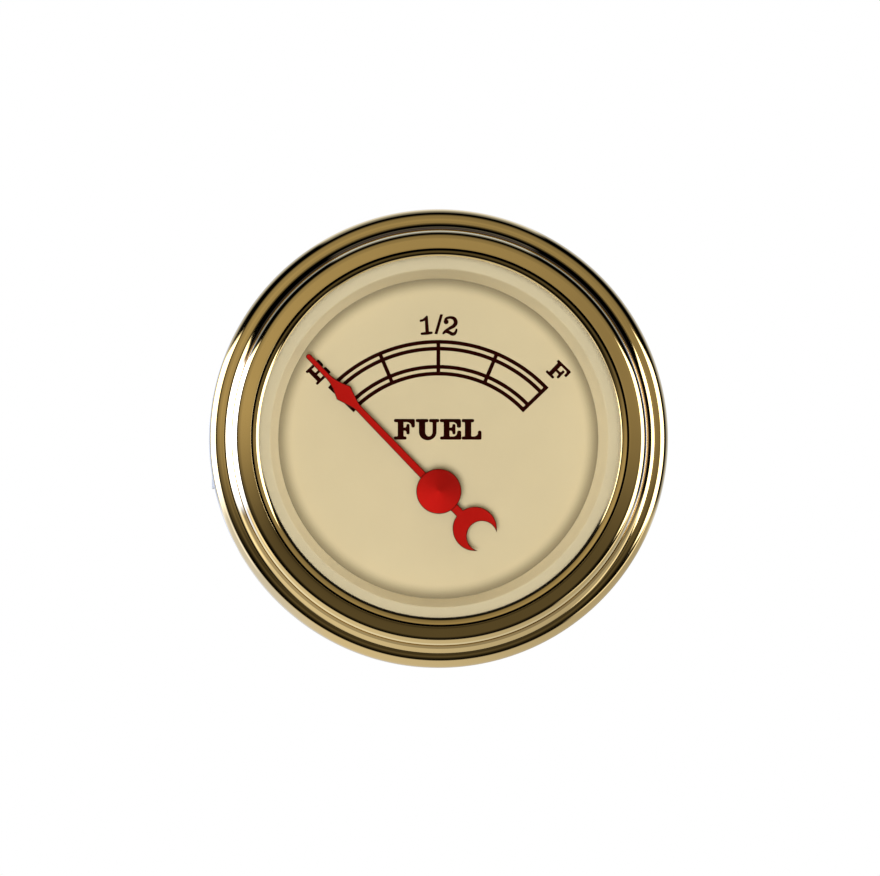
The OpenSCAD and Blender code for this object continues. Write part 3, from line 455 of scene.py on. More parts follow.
def flat(outlines, z0, z1, holes=()):
    """Overlapping outlines as one plate between two heights."""
    corners, rings = [], []
    for outline in [*outlines, *holes]:
        rings.append(list(range(len(corners), len(corners) + len(outline))))
        corners += [Vector(p) for p in (outline if anticlockwise(outline) else outline[::-1])]
    spots, _, cells, _, _, sources = delaunay_2d_cdt(corners, [], rings, 1, 1e-5)
    solid = [cell for cell, source in zip(cells, sources)
             if source and max(source) < len(outlines)]
    count = len(spots)
    points = [(p.x, p.y, z) for z in (z0, z1) for p in spots]
    edges = dict.fromkeys(edge for cell in solid for edge in neighbours(cell))
    faces = [tuple(reversed(cell)) for cell in solid]
    faces += [tuple(i + count for i in cell) for cell in solid]
    faces += [(a, b, b + count, a + count) for a, b in edges if (b, a) not in edges]
    keep = sorted({i for face in faces for i in face})
    new = {old: i for i, old in enumerate(keep)}
    return [points[i] for i in keep], [tuple(new[i] for i in face) for face in faces]


def soften(ob, width):
    """Breaks the sharp edges, as a real part's edges are."""
    weld = ob.modifiers.new("weld", "WELD")
    weld.merge_threshold = 1e-6
    bevel = ob.modifiers.new("edges", "BEVEL")
    bevel.width = width * MM
    bevel.segments = 2
    bevel.limit_method = "ANGLE"
    bevel.angle_limit = radians(30)
    bevel.harden_normals = True


def ease(name, width):
    """Breaks the edges of a solid that stays."""
    mesh = NODES[name].data
    if "custom_normal" in mesh.attributes:
        mesh.attributes.remove(mesh.attributes["custom_normal"])
    mesh.polygons.foreach_set("use_smooth", [True] * len(mesh.polygons))
    soften(NODES[name], width)


# ---------------------------------------------------------------- bezel

# The section's height, the sheet's thickness and the flange's inner radius
CREST_Z, SHEET, FLANGE_R = 7.3, 0.6, 27.2
# Slopes of the section at the ends of its arcs, in degrees
FOOT, STEP, SHOULDER, CREST = 31.5, 70.0, 14.0, 12.0
# Radii of its arcs from the outside in, the lip's width, and the radius of the flange's edge
OUTER_R, COVE_R, STEP_R, LIP_R, LIP_W, EDGE_R = 1.9, 2.36, 1.655, 1.42, 0.95, 0.4
# Radius, width and depth of the groove on the crest
GROOVE_AT, GROOVE_W, GROOVE_DEEP = 24.61, 0.2, 0.16


def slope_point(angle):
    """The point of a unit arc where it has a slope."""
    return sin(radians(angle)), cos(radians(angle))


def along_slope(start, r, angle, side=1):
    """From an arc's centre to its point with a slope, or back with side -1."""
    s, c = slope_point(angle)
    return start[0] + side * r * s, start[1] + side * r * c


def groove(line):
    """The line with a narrow groove pressed into its crest."""
    return [(r, z - GROOVE_DEEP * max(0.0, 1 - abs(2 * (r - GROOVE_AT) / GROOVE_W)))
            for r, z in line]


def bezel_outline():
    """The pressed ring's section: outer roll, step, inner roll, sloping face, crest and lip."""
    foot, step, shoulder = (slope_point(a) for a in (FOOT, STEP, SHOULDER))
    cove_w, cove_h = COVE_R * (step[0] - foot[0]), COVE_R * (foot[1] - step[1])
    step_w, step_h = STEP_R * (step[0] - shoulder[0]), STEP_R * (shoulder[1] - step[1])
    lip_c = (WINDOW_R + LIP_W, CREST_Z - LIP_R)
    lip_end = 90 + degrees(asin(LIP_W / LIP_R))
    crest = along_slope(lip_c, LIP_R, CREST)
    foot_r = BEZEL_R - OUTER_R
    face_w = foot_r - cove_w - step_w - crest[0]
    face_h = face_w * tan(radians((SHOULDER + CREST) / 2))
    foot_p = (foot_r, crest[1] - face_h - step_h - cove_h)
    outer_c = (foot_r, foot_p[1] - OUTER_R)
    cove_c = along_slope(foot_p, COVE_R, FOOT)
    knee = (foot_p[0] - cove_w, foot_p[1] + cove_h)
    step_c = along_slope(knee, STEP_R, STEP, -1)
    shoulder_p = along_slope(step_c, STEP_R, SHOULDER)
    # The face between the inner roll and the crest, its slope changing evenly
    face = []
    for i in range(1, 8):
        u = i / 8
        slope = radians(SHOULDER + (CREST - SHOULDER) * u / 2)
        face.append((shoulder_p[0] - face_w * u, shoulder_p[1] + face_w * u * tan(slope)))
    outside = ([(FLANGE_R, 0.0)] + arc((BEZEL_R - EDGE_R, EDGE_R), EDGE_R, -90, 0, 6)
               + arc(outer_c, OUTER_R, 0, 90, 36)
               + arc(cove_c, COVE_R, 270 - FOOT, 270 - STEP, 18)
               + arc(step_c, STEP_R, 90 - STEP, 90 - SHOULDER, 24) + face
               + groove(arc(lip_c, LIP_R, 90 - CREST, lip_end, 60)) + [(WINDOW_R, GLASS_FRONT)])
    inside = ([(FLANGE_R, SHEET), (BEZEL_R - SHEET, SHEET)]
              + arc(outer_c, OUTER_R - SHEET, 0, 90, 10)
              + arc(cove_c, COVE_R + SHEET, 270 - FOOT, 270 - STEP, 6)
              + arc(step_c, STEP_R - SHEET, 90 - STEP, 90 - SHOULDER, 6)
              + arc(lip_c, LIP_R - SHEET, 90 - CREST, lip_end, 6)
              + [(WINDOW_R + SHEET, GLASS_FRONT)])
    return outside + inside[::-1]


piece("bezel_ring", *lathe(bezel_outline()), "gauge", "bezel_gold", ["bezel"], sharp=18)


# ---------------------------------------------------------------- trim ring

TRIM_FOOT_R, TRIM_CORNER_R, TRIM_OUT_R = 20.95, 22.1, 24.2
TRIM_LEDGE, TRIM_SHEET, TRIM_EDGE_R = 4.3, 0.5, 0.3


def trim_outline():
    """The cream ring's section: foot, bevel, round edge, ledge and rim."""
    bevel = degrees(atan2(TRIM_LEDGE - DIAL_Z, TRIM_CORNER_R - TRIM_FOOT_R))
    edge_c = (TRIM_CORNER_R + TRIM_EDGE_R * tan(radians(bevel / 2)), TRIM_LEDGE - TRIM_EDGE_R)
    under = TRIM_LEDGE - TRIM_SHEET
    foot_in = TRIM_FOOT_R + TRIM_SHEET / sin(radians(bevel))
    under_r = foot_in + (under - DIAL_Z) / tan(radians(bevel))
    rim = [(23.8, TRIM_LEDGE), (23.87, TRIM_LEDGE + 0.03), (23.9, GLASS_BACK - 0.02),
           (23.92, GLASS_BACK), (TRIM_OUT_R, GLASS_BACK)]
    inside = [(TRIM_OUT_R, DIAL_Z), (TRIM_OUT_R - TRIM_SHEET, DIAL_Z),
              (TRIM_OUT_R - TRIM_SHEET, under), (under_r, under), (foot_in, DIAL_Z)]
    return [(TRIM_FOOT_R, DIAL_Z)] + arc(edge_c, TRIM_EDGE_R, 90 + bevel, 90, 8) + rim + inside


piece("trim_ring_pressed", *lathe(trim_outline()), "gauge", "trim_cream", ["trim_ring"], sharp=25)


# ---------------------------------------------------------------- print on the dial

INK_Z = (DIAL_Z - 0.02, DIAL_Z + 0.012)


def bar(x0, y0, x1, y1, r=0.9):
    """A straight bar with round corners."""
    x0, x1, y0, y1 = min(x0, x1), max(x0, x1), min(y0, y1), max(y0, y1)
    r = min(r, (x1 - x0) / 2.01, (y1 - y0) / 2.01)
    return (arc((x1 - r, y1 - r), r, 0, 90, 4) + arc((x0 + r, y1 - r), r, 90, 180, 4)
            + arc((x0 + r, y0 + r), r, 180, 270, 4) + arc((x1 - r, y0 + r), r, 270, 360, 4))


def grown(outline, by):
    """An outline with its edges moved outward; sharp corners move no more than threefold."""
    line = [Vector(p) for p in outline]
    out = by if anticlockwise(outline) else -by
    moved = []
    for before, here, after in zip(line[-1:] + line[:-1], line, line[1:] + line[:1]):
        a, b = (here - before).normalized(), (after - here).normalized()
        side = Vector((a.y + b.y, -a.x - b.x)) / max(0.3, 1 + a.dot(b))
        moved.append(tuple(here + side * out))
    return moved


def bracket(x, y, dx, dy, steps=6):
    """A hollow fillet in the corner between a stem and a serif."""
    angles = [pi / 2 * i / steps for i in range(steps + 1)]
    return [(x, y)] + [(x + dx * (1 - sin(a)), y + dy * (1 - cos(a))) for a in angles]


def stroke(line, widths, steps=6):
    """A stroke of changing width along a smooth line through its points."""
    def curve(values, i, u):
        p0, p1 = values[max(i - 1, 0)], values[i]
        p2, p3 = values[i + 1], values[min(i + 2, len(values) - 1)]
        return 0.5 * (2 * p1 + (p2 - p0) * u + (2 * p0 - 5 * p1 + 4 * p2 - p3) * u * u
                      + (3 * p1 - p0 - 3 * p2 + p3) * u ** 3)

    def round_end(spot, width):
        return arc(tuple(spot), width / 2, 0, 350, 12)

    spots = [Vector(p) for p in line]
    middle = [(curve(spots, i, k / steps), curve(widths, i, k / steps))
              for i in range(len(line) - 1) for k in range(steps)] + [(spots[-1], widths[-1])]
    shapes = []
    for (a, wa), (b, wb) in zip(middle, middle[1:]):
        side = (b - a).normalized().orthogonal()
        shapes.append([tuple(a + side * wa / 2), tuple(a - side * wa / 2),
                       tuple(b - side * wb / 2), tuple(b + side * wb / 2)])
        shapes.append(round_end(b, wb))
    return shapes + [round_end(*middle[0])]


def placed(shapes, origin, scale):
    """Shapes laid out in the pixels of an enlarged part of the photograph, moved to the dial."""
    def spot(p):
        return ((origin[0] + p[0] / scale - MIDDLE_PX[0]) * PX,
                (MIDDLE_PX[1] - origin[1] - p[1] / scale) * PX)
    return [[spot(p) for p in shape] for shape in shapes]


def printed(name, shapes):
    piece(name, *flat(shapes, *INK_Z), "gauge", None, paint=INK, sharp=20)


def round_pivot(r, angle):
    """The place at a distance from the pivot, its angle from straight up to the right."""
    return PIVOT[0] + r * sin(radians(angle)), PIVOT[1] + r * cos(radians(angle))


def scale_arc(r, width, start, end, steps):
    """A strip round the pivot."""
    angles = [start + (end - start) * i / steps for i in range(steps + 1)]
    outer = [round_pivot(r + width / 2, a) for a in angles]
    inner = [round_pivot(r - width / 2, a) for a in angles]
    return outer + inner[::-1]


def scale_lines():
    """Two double arcs round the pivot, joined by five marks."""
    width, radii, reach = 0.5, (15.44, 16.33, 18.71, 19.60), 46.0
    shapes = []
    for r in radii:
        over = degrees(width / 2 / r)
        shapes.append(scale_arc(r, width, -reach - over, reach + over, 96))
    low, high = radii[0] - width / 2, radii[-1] + width / 2
    for angle in (-reach, -reach / 2, 0.0, reach / 2, reach):
        c, s = cos(radians(angle)), sin(radians(angle))
        mark = []
        for r, side in ((low, 1), (high, 1), (high, -1), (low, -1)):
            x, y = round_pivot(r, angle)
            mark.append((x + side * c * width / 2, y - side * s * width / 2))
        shapes.append(mark)
    return shapes


# The bold letters of FUEL and the figures of 1/2 are laid out in the pixels of the photograph,
# enlarged ENLARGED times, from a corner of the crop that they were drawn over

def bold_f(x):
    return [bar(76 + x, 88, 318 + x, 117, 12), bar(122 + x, 90, 182 + x, 322, 2),
            bar(76 + x, 298, 218 + x, 326, 12), bar(284 + x, 92, 318 + x, 181, 14),
            bracket(286 + x, 115, -66, 50), bar(180 + x, 192, 240 + x, 219, 2),
            bar(226 + x, 148, 254 + x, 263, 12), bracket(228 + x, 194, -30, -34),
            bracket(228 + x, 217, -30, 34), bracket(123 + x, 116, -20, 16),
            bracket(181 + x, 116, 14, 12), bracket(123 + x, 299, -24, -18),
            bracket(181 + x, 299, 20, -18), bracket(181 + x, 193, 12, -12),
            bracket(181 + x, 218, 12, 12)]


def bold_u():
    outer = [(477 + 101 * cos(radians(a)), 238 + 96 * sin(radians(a))) for a in range(0, 181, 9)]
    inner = [(491 + 49 * cos(radians(a)), 238 + 59 * sin(radians(a))) for a in range(180, -1, -9)]
    return [bar(338, 88, 480, 117, 12), bar(498, 88, 610, 117, 12),
            [(376, 92), (442, 92), (442, 240), (376, 240)],
            [(540, 92), (578, 92), (578, 240), (540, 240)], outer + inner,
            bracket(377, 116, -24, 16), bracket(441, 116, 22, 16),
            bracket(541, 116, -24, 16), bracket(577, 116, 20, 16)]


def bold_e():
    """The F with a long lower arm in place of its foot, and with larger serifs."""
    f = bold_f(552)
    return f[:2] + f[5:] + [bar(630, 298, 875, 326, 12), bar(832, 92, 872, 183, 14),
                            bracket(834, 115, -60, 50), bar(835, 228, 875, 322, 14),
                            bracket(837, 299, -60, -52)]


def bold_l():
    return [bar(890, 88, 1030, 117, 12), bar(928, 90, 995, 322, 2), bar(890, 298, 1118, 326, 12),
            bar(1085, 228, 1118, 322, 14), bracket(1087, 299, -62, -52),
            bracket(929, 116, -22, 16), bracket(994, 116, 20, 16), bracket(929, 299, -22, -18),
            bracket(994, 299, 20, -16)]


def figure_one():
    return [[(135, 84), (148, 65), (166, 70), (182, 276), (137, 276), (130, 118)],
            *stroke([(82, 128), (108, 121), (132, 106), (150, 82)], [30, 30, 34, 24]),
            *stroke([(94, 284), (150, 279), (210, 272)], [31, 36, 31], 2)]


def figure_two():
    return [arc((386, 140), 30, 0, 350, 24),
            *stroke([(372, 128), (388, 100), (436, 88), (482, 102), (502, 144), (484, 184),
                     (430, 218), (376, 252), (354, 278)],
                    [24, 31, 33, 43, 49, 45, 37, 31, 28], 8),
            *stroke([(356, 276), (384, 258), (420, 266), (456, 286), (486, 282), (504, 258),
                     (510, 234)], [26, 35, 41, 43, 39, 31, 26], 8)]


def light_letter(strokes, place, turn):
    """A light slab letter, laid out in the photograph's pixels about its middle and then turned."""
    c, s = cos(radians(turn)), sin(radians(turn))
    return [[(place[0] + (x * c - y * s) * PX, place[1] + (x * s + y * c) * PX)
             for x, y in grown(shape, 0.3)] for shape in strokes]


LIGHT_F = [bar(-8.7, 6.5, 8.7, 8.7), bar(-6.8, -8, -2.9, 8, 0.2), bar(-9.6, -8.7, 0.3, -6.6),
           bar(6.4, 1.5, 8.7, 8.6), bracket(6.6, 6.7, -3.4, -2.6), bar(-3.2, -1.2, 3.0, 0.9, 0.2),
           bar(1.9, -4.9, 4.1, 4.5), bracket(2.1, 0.8, -1.6, 1.6), bracket(2.1, -1.1, -1.6, -1.6)]
LIGHT_E = LIGHT_F[:2] + LIGHT_F[3:] + [bar(-9.6, -8.7, 8.9, -6.6), bar(6.6, -8.6, 8.9, -1.5),
                                      bracket(6.8, -6.8, -3.4, 2.6)]
SLASH = [(245, 285), (281, 291), (349, 53), (315, 47)]
# How far the two end letters stand from the pivot, their angle from straight up, and their lean
LETTER_OFF, LETTER_AT, LETTER_LEAN = 22.2, 45.2, 44
# How often the bold legends' pixels are enlarged, and how far FUEL's edges are moved outward
ENLARGED, BOLDER = 12, 5.4
letter_x, letter_y = round_pivot(LETTER_OFF, LETTER_AT)

printed("dial_scale_lines", scale_lines())
fuel = [grown(shape, BOLDER) for shape in bold_f(0) + bold_u() + bold_e() + bold_l()]
printed("dial_legend_fuel", placed(fuel, (388, 412), ENLARGED))
half = figure_one() + [SLASH] + figure_two()
printed("dial_legend_half", placed(half, (414, 310), ENLARGED))
printed("dial_legend_full", light_letter(LIGHT_F, (letter_x, letter_y), -LETTER_LEAN))
printed("dial_legend_empty", light_letter(LIGHT_E, (-letter_x, letter_y), LETTER_LEAN))


# ---------------------------------------------------------------- needle and hub

NEEDLE_BACK, NEEDLE_FRONT = 2.2, 2.5
NEEDLE_LEN, NEEDLE_TURN = 24.789, 134.0
# Where the needle's diamond starts, is widest and ends, and the needle's half widths
DIAMOND_START, DIAMOND_MID, DIAMOND_END = NEEDLE_LEN - 9.5, NEEDLE_LEN - 6.9, NEEDLE_LEN - 4
FOOT_HALF, STEM_HALF, DIAMOND_HALF, TIP_HALF, TAIL_HALF = 0.46, 0.39, 1.175, 0.31, 0.54
# The disc under the hub with its bore, and the crescent with its round gap, behind the pivot
DISC_R, DISC_BORE_R, CRESCENT_AT, CRESCENT_R, GAP_AT, GAP_R = 2.6, 0.96, -6.8, 2.85, -8.14, 2.03
# The narrow border coined round the needle's front: outside and inside the outline, and its drop
BORDER_OUT, BORDER_IN, BORDER_LOW = 0.045, 0.035, 0.05
HUB_R, HUB_BORE_R, SLEEVE_R = 2.95, 0.51, 0.95


def flare(t0, t1, w0, w1, bend, steps=12):
    """Half widths along the needle that change from one to another, faster at the end."""
    return [(t0 + (t1 - t0) * i / steps, w0 + (w1 - w0) * (i / steps) ** bend)
            for i in range(steps + 1)]


def needle_shapes():
    """The outlines of the needle, in its place on the scale, and of its holes."""
    upper = ([(2.3, FOOT_HALF)]
             + flare(DIAMOND_START, DIAMOND_MID - 0.08, STEM_HALF, DIAMOND_HALF, 1.2)
             + flare(DIAMOND_END, DIAMOND_MID + 0.08, TIP_HALF, DIAMOND_HALF, 1.7)[::-1]
             + arc((NEEDLE_LEN - TIP_HALF, 0.0), TIP_HALF, 90, 0, 8))
    blade = [(x, -y) for x, y in upper] + upper[::-1][1:]
    tail = [(CRESCENT_AT, -TAIL_HALF), (0.0, -TAIL_HALF), (0.0, TAIL_HALF),
            (CRESCENT_AT, TAIL_HALF)]
    solid = [blade, arc((0, 0), DISC_R, 0, 354, 60), tail,
             arc((CRESCENT_AT, 0), CRESCENT_R, 0, 356, 90)]
    holes = [arc((GAP_AT, 0), GAP_R, 0, 355, 72), arc((0, 0), DISC_BORE_R, 0, 350, 36)]
    c, s = cos(radians(NEEDLE_TURN)), sin(radians(NEEDLE_TURN))

    def turned(shape):
        return [(PIVOT[0] + x * c - y * s, PIVOT[1] + x * s + y * c) for x, y in shape]
    return [turned(shape) for shape in solid], [turned(shape) for shape in holes]


def merge_flat(ob):
    """Joins the triangles of flat faces, so that only real edges are broken."""
    bm = bmesh.new()
    bm.from_mesh(ob.data)
    bmesh.ops.dissolve_limit(bm, angle_limit=radians(0.5), verts=bm.verts, edges=bm.edges)
    bm.to_mesh(ob.data)
    bm.free()


def needle_plate(wider, z0, z1):
    """A layer of the needle, its outline moved outward."""
    solid, holes = needle_shapes()
    return flat([grown(shape, wider) for shape in solid], z0, z1,
                [grown(shape, -wider) for shape in holes])


# The lower layer shows round the front as a narrow border, painted dark as shade by the needle's
# finish
needle = piece("needle_blade",
               *joined(needle_plate(BORDER_OUT, NEEDLE_BACK, NEEDLE_FRONT - BORDER_LOW),
                       needle_plate(-BORDER_IN, NEEDLE_FRONT - 2 * BORDER_LOW, NEEDLE_FRONT)),
               "pointer", "needle_red", ["needle"], sharp=60)
merge_flat(needle)
soften(needle, 0.03)

# The hub's section: sleeve, flat back, soft edge and blunt cone
hub_outline = ([(HUB_BORE_R, 1.6), (SLEEVE_R, 1.6), (SLEEVE_R, 2.5), (HUB_R - 0.1, 2.5)]
               + arc((HUB_R - 0.1, 2.6), 0.1, -60, 0, 3)
               + arc((HUB_R - 0.15, 2.8), 0.15, 0, 64, 8)
               + [(0.25, 3.99), (0.15, 4.04), (0.0, 4.06), (0.0, 2.9), (HUB_BORE_R, 2.9)])
piece("needle_hub_cap", *lathe(hub_outline, PIVOT, 128), "pointer", "hub_red", ["needle_hub"],
      sharp=40)


# ---------------------------------------------------------------- threads, nuts and washers

# M4 threads, and the hexagonal nuts and spring washers that fit them
STUD_R, PITCH, THREAD_DEEP, ROWS_PER_TURN = 2.0, 0.7, 0.613 * 0.7, 8
NUT_BORE_R, NUT_W, NUT_HIGH, WASHER_R = 2.05, 7.0, 3.2, 3.7
# Heights of the case's back, and of the fronts of the lock washers and of the nuts
CASE_BACK, LOCK_Z, NUT_Z = -29.0, -30.0, -30.8
BOARD_FRONT = -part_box("circuit_board")[0].y / MM


def threaded(centre, z_far, z_near, plain_to):
    """A stud whose thread runs from its chamfered far end; beyond z_near it is plain."""
    chamfer = 0.55
    count = int((z_near - z_far) / PITCH * ROWS_PER_TURN)
    outline = [(0.0, z_far)]
    outline += [(STUD_R, z_far + (z_near - z_far) * i / count) for i in range(count + 1)]
    outline += [(STUD_R, plain_to), (0.0, plain_to)]

    def shape(a, r, z):
        if r == 0 or z > z_near:
            return r
        turn = (z / PITCH - a / (2 * pi)) % 1.0
        # Flat over a tenth of the pitch at the crest and at the root
        ridge = min(1.0, max(0.0, abs(2 * turn - 1) * 1.25 - 0.125))
        core = STUD_R - THREAD_DEEP
        ends = min(STUD_R - chamfer + (z - z_far), core + (z_near - z))
        return min(STUD_R - THREAD_DEEP * (1 - ridge),
                   max(core, ends) if z_near - z < THREAD_DEEP else ends)
    return lathe(outline, centre, 40, shape)


def stud_head(centre):
    """The round head that holds a mounting stud in the case."""
    r, soft, back, front = 3.8, 0.1, -28.0, -26.8
    return lathe([(0.0, back), (r - soft, back), (r, back + soft), (r, front - soft),
                  (r - soft, front), (0.0, front)], centre, 64)


def hexagon(centre, z0, z1, hole=0.0, chamfer=(1, 1)):
    """A nut or a head between two heights, with or without round chamfers on its corners."""
    turns, touch, chamfer_slope = 72, NUT_W / 2 * 0.98, 0.577
    points = []
    for i in range(turns):
        a = 2 * pi * i / turns
        edge = NUT_W / 2 / cos((a + pi / 6) % (pi / 3) - pi / 6)
        drop = (edge - touch) * chamfer_slope
        section = [(hole, z0), (touch, z0), (edge, z0 + drop * chamfer[0]),
                   (edge, z1 - drop * chamfer[1]), (touch, z1), (hole, z1)]
        points += [(centre[0] + r * cos(a + pi / 6), centre[1] + r * sin(a + pi / 6), z)
                   for r, z in section]
    return points, skin(turns, 6, on_axis=() if hole else (0, 5))


def split_ring(centre, cut_at):
    """A spring washer: a square ring with soft edges and a slanted cut at an angle."""
    gap, turns, soft, slant = 7.0, 60, 0.08, 0.35
    z0, z1 = NUT_Z, LOCK_Z
    lean = degrees(slant * (z1 - z0) / WASHER_R)
    section = [(NUT_BORE_R, z0 + soft), (NUT_BORE_R + soft, z0), (WASHER_R - soft, z0),
               (WASHER_R, z0 + soft), (WASHER_R, z1 - soft), (WASHER_R - soft, z1),
               (NUT_BORE_R + soft, z1), (NUT_BORE_R, z1 - soft)]
    count = len(section)
    points = []
    for i in range(turns + 1):
        for r, z in section:
            skew = lean * (2 * (z - z0) / (z1 - z0) - 1)
            a = radians(cut_at + gap / 2 + (360 - gap) * i / turns + skew)
            points.append((centre[0] + r * cos(a), centre[1] + r * sin(a), z))
    ends = [tuple(range(count)), tuple(turns * count + k for k in reversed(range(count)))]
    return points, skin(turns, count, closed=False) + ends


def thumb_nut(centre):
    """A knurled thumb nut with a collar, chamfered and slightly dished at its back."""
    back, head, front = -39.8, -35.4, -33.4
    head_r, collar_r, teeth, notch_deep, notch_half = 5.5, 3.5, 24, 0.35, 0.27
    outline = [(NUT_BORE_R, back + 0.35), (2.4, back + 0.2), (3.6, back + 0.2), (3.9, back),
               (4.75, back), (5.1, back + 0.12), (head_r, back + 0.55), (head_r, head - 0.5),
               (5.15, head - 0.08), (4.9, head), (3.6, head), (collar_r, head + 0.12),
               (collar_r, front - 0.25), (3.3, front), (NUT_BORE_R, front)]

    def shape(a, r, z):
        if r < 4:
            return r
        turn = a / (2 * pi) * teeth % 1.0
        notch = notch_deep * max(0.0, 1 - min(turn, 1 - turn) / notch_half)
        return min(r, head_r - notch)
    return lathe(outline, centre, teeth * 12, shape)


studs = [threaded(p, CASE_BACK - 14, CASE_BACK - 0.3, -27.9) for p in STUDS]
piece("mounting_studs_cut", *joined(*studs, *map(stud_head, STUDS)), "gauge", "stud_zinc",
      ["mounting_studs"])
terminals = [threaded(p, CASE_BACK - 13, NUT_Z + 0.3, BOARD_FRONT + 0.1) for p in TERMINALS]
caps = [hexagon(p, BOARD_FRONT, BOARD_FRONT + 1.2, chamfer=(0, 1)) for p in TERMINALS]
piece("terminal_studs_cut", *joined(*terminals, *caps), "gauge", "terminal_brass",
      ["terminal_studs"])
nuts = [hexagon(p, NUT_Z - NUT_HIGH, NUT_Z, NUT_BORE_R) for p in TERMINALS]
piece("terminal_nuts_chamfered", *joined(*nuts), "gauge", "terminal_brass", ["terminal_nuts"],
      sharp=22)
washers = [split_ring(p, cut_at) for p, cut_at in zip(TERMINALS, (250, 290, 330))]
piece("terminal_spring_washers", *joined(*washers), "gauge", "washer_zinc",
      ["terminal_lock_washers"], sharp=50)
piece("thumb_nut_left_knurled", *thumb_nut(STUDS[0]), "nut_left", "thumb_brass",
      ["thumb_nut_left"], sharp=20)
piece("thumb_nut_right_knurled", *thumb_nut(STUDS[1]), "nut_right", "thumb_brass",
      ["thumb_nut_right"], sharp=20)

for name, width in (("case_cup", 0.12), ("clamp_bracket", 0.22), ("clamp_washers", 0.1),
                    ("carrier_screws", 0.12), ("terminal_insulators", 0.15), ("lamp_shell", 0.1),
                    ("lamp_body", 0.3), ("lamp_blades", 0.12), ("dial_plate", 0.05),
                    ("lens_gasket", 0.1), ("bulb_base", 0.15)):
    ease(name, width)


# ---------------------------------------------------------------- light, floor and camera

WARM, PLAIN, COOL = (1.0, 0.87, 0.57), (1.0, 1.0, 1.0), (0.88, 0.98, 1.25)
# The direction in which the dial's plane would mirror the camera
MIRRORED = (0.0384, -0.999, 0.0227)


def studio():
    """Soft boxes left and right, a pale floor below, and a white backdrop for the camera.

    A direction is given by off, its angle from the dial's axis, and by c and s, the cosine and
    sine of the turn round that axis. Angles are in degrees.
    """
    backdrop = bpy.data.worlds.new("studio")
    bpy.context.scene.world = backdrop
    t = Tree(backdrop)
    way = t.add("TexCoord", out="Generated")
    x, y, z = (t.coordinate(way, axis) for axis in "XYZ")
    across = t.math("ADD", t.math("SQRT", t.total((x, x), (z, z))), 1e-5)
    c, s = t.math("DIVIDE", x, across), t.math("DIVIDE", z, across)
    off = t.math("MULTIPLY", t.math("ARCCOSINE", t.math("MULTIPLY", y, -1.0)), 180 / pi)

    def towards(angle):
        """The cosine of the turn from a direction round the axis."""
        return t.total((c, cos(radians(angle))), (s, sin(radians(angle))))

    def sector(middle, half, soft, narrowing=0.0):
        """1 in a sector of directions round the axis, 0 outside it; it may narrow with off."""
        if not narrowing:
            return t.step(towards(middle), cos(radians(half + soft)), cos(radians(half - soft)))
        narrower = t.math("MULTIPLY", off, -radians(narrowing))
        ends = [t.math("COSINE", t.math("ADD", narrower, radians(half + side)))
                for side in (soft, -soft)]
        return t.step(towards(middle), *ends)

    def band(start, end, soft):
        """1 between two angles off the dial's axis, 0 outside them."""
        rise = t.step(off, start - soft, start + soft)
        return t.product(rise, t.step(off, end - soft, end + soft, 1.0, 0.0))

    glows = []

    def glow(colour, *values):
        """Adds a light whose strength is the product of the values."""
        strength = t.product(*values)
        glows.append(t.add("VectorMath", {0: colour, "Scale": strength}, operation="SCALE"))

    # The dim room behind the camera, lighter above, darker below and to the right, with the
    # camera dark in it
    mirrored = t.total(*zip((x, y, z), MIRRORED))
    unseen = t.step(mirrored, cos(radians(4.5)), cos(radians(2.5)), 1.0, 0.0)
    upper = t.step(s, -0.57, 0.31)
    leftward = t.math("POWER", t.math("MAXIMUM", t.math("MULTIPLY", c, -1.0), 0.0), 3.0)
    edge = t.step(t.total((leftward, 10.0), start=off), 59.0, 79.0, 1.0, 0.0)
    ahead = band(22, 34, 3)
    darker_right = t.total((t.product(t.step(c, 0.4, 0.95), ahead), -0.30), start=1.0)
    glow(WARM, unseen, t.total((c, -0.06), (t.product(c, c), 0.06), start=0.30), upper, edge,
         darker_right)
    glow(WARM, t.total((ahead, 0.05), start=0.06), unseen, t.step(off, 34.0, 50.0, 1.0, 0.1),
         t.step(off, 52.0, 60.0, 1.0, 0.0))
    # White boxes at the right and the left
    glow(PLAIN, 4.2, sector(1, 46, 2, 0.32), band(57, 88, 4))
    glow(PLAIN, 4.2, sector(210, 70, 2, 0.14), sector(135, 59, 7), band(73, 126, 4))
    glow(PLAIN, 0.6, sector(206, 8, 5), band(73, 88, 5))
    # A pale patch above, and the wall behind
    glow(COOL, 0.32, sector(90, 28, 2), t.step(off, 91.0, 106.0))
    glow(COOL, 0.75, t.step(s, -0.45, -0.2), t.step(off, 104.0, 140.0))
    # The pale floor, its edge a straight line, and a white spot on it
    below = t.step(t.total((z, -1.0), (y, 1.85)), -0.16, 0.14)
    glow(PLAIN, t.total((c, -0.22), start=0.69), below, sector(270, 74, 4))
    slanted = t.math("ABSOLUTE", t.total((off, 1.0), (towards(57), -43.0), start=-76.0))
    glow(PLAIN, 0.9, sector(327, 17, 4), t.step(slanted, 2.5, 6.5, 1.0, 0.0))
    level = glows[0]
    for more in glows[1:]:
        level = t.add("VectorMath", {0: level, 1: more}, operation="ADD")
    room = t.add("Background", {"Color": level, "Strength": 1.0})
    sheet = t.add("Background", {"Color": rgba(PLAIN), "Strength": 1.0})
    seen = t.add("LightPath", out="Is Camera Ray")
    t.add("OutputWorld", {"Surface": t.add("MixShader", {0: seen, 1: room, 2: sheet})})


def aim(ob, direction):
    """Turns a lamp or a camera to look in a direction."""
    ob.rotation_mode = "QUATERNION"
    ob.rotation_quaternion = direction.to_track_quat("-Z", "Y")


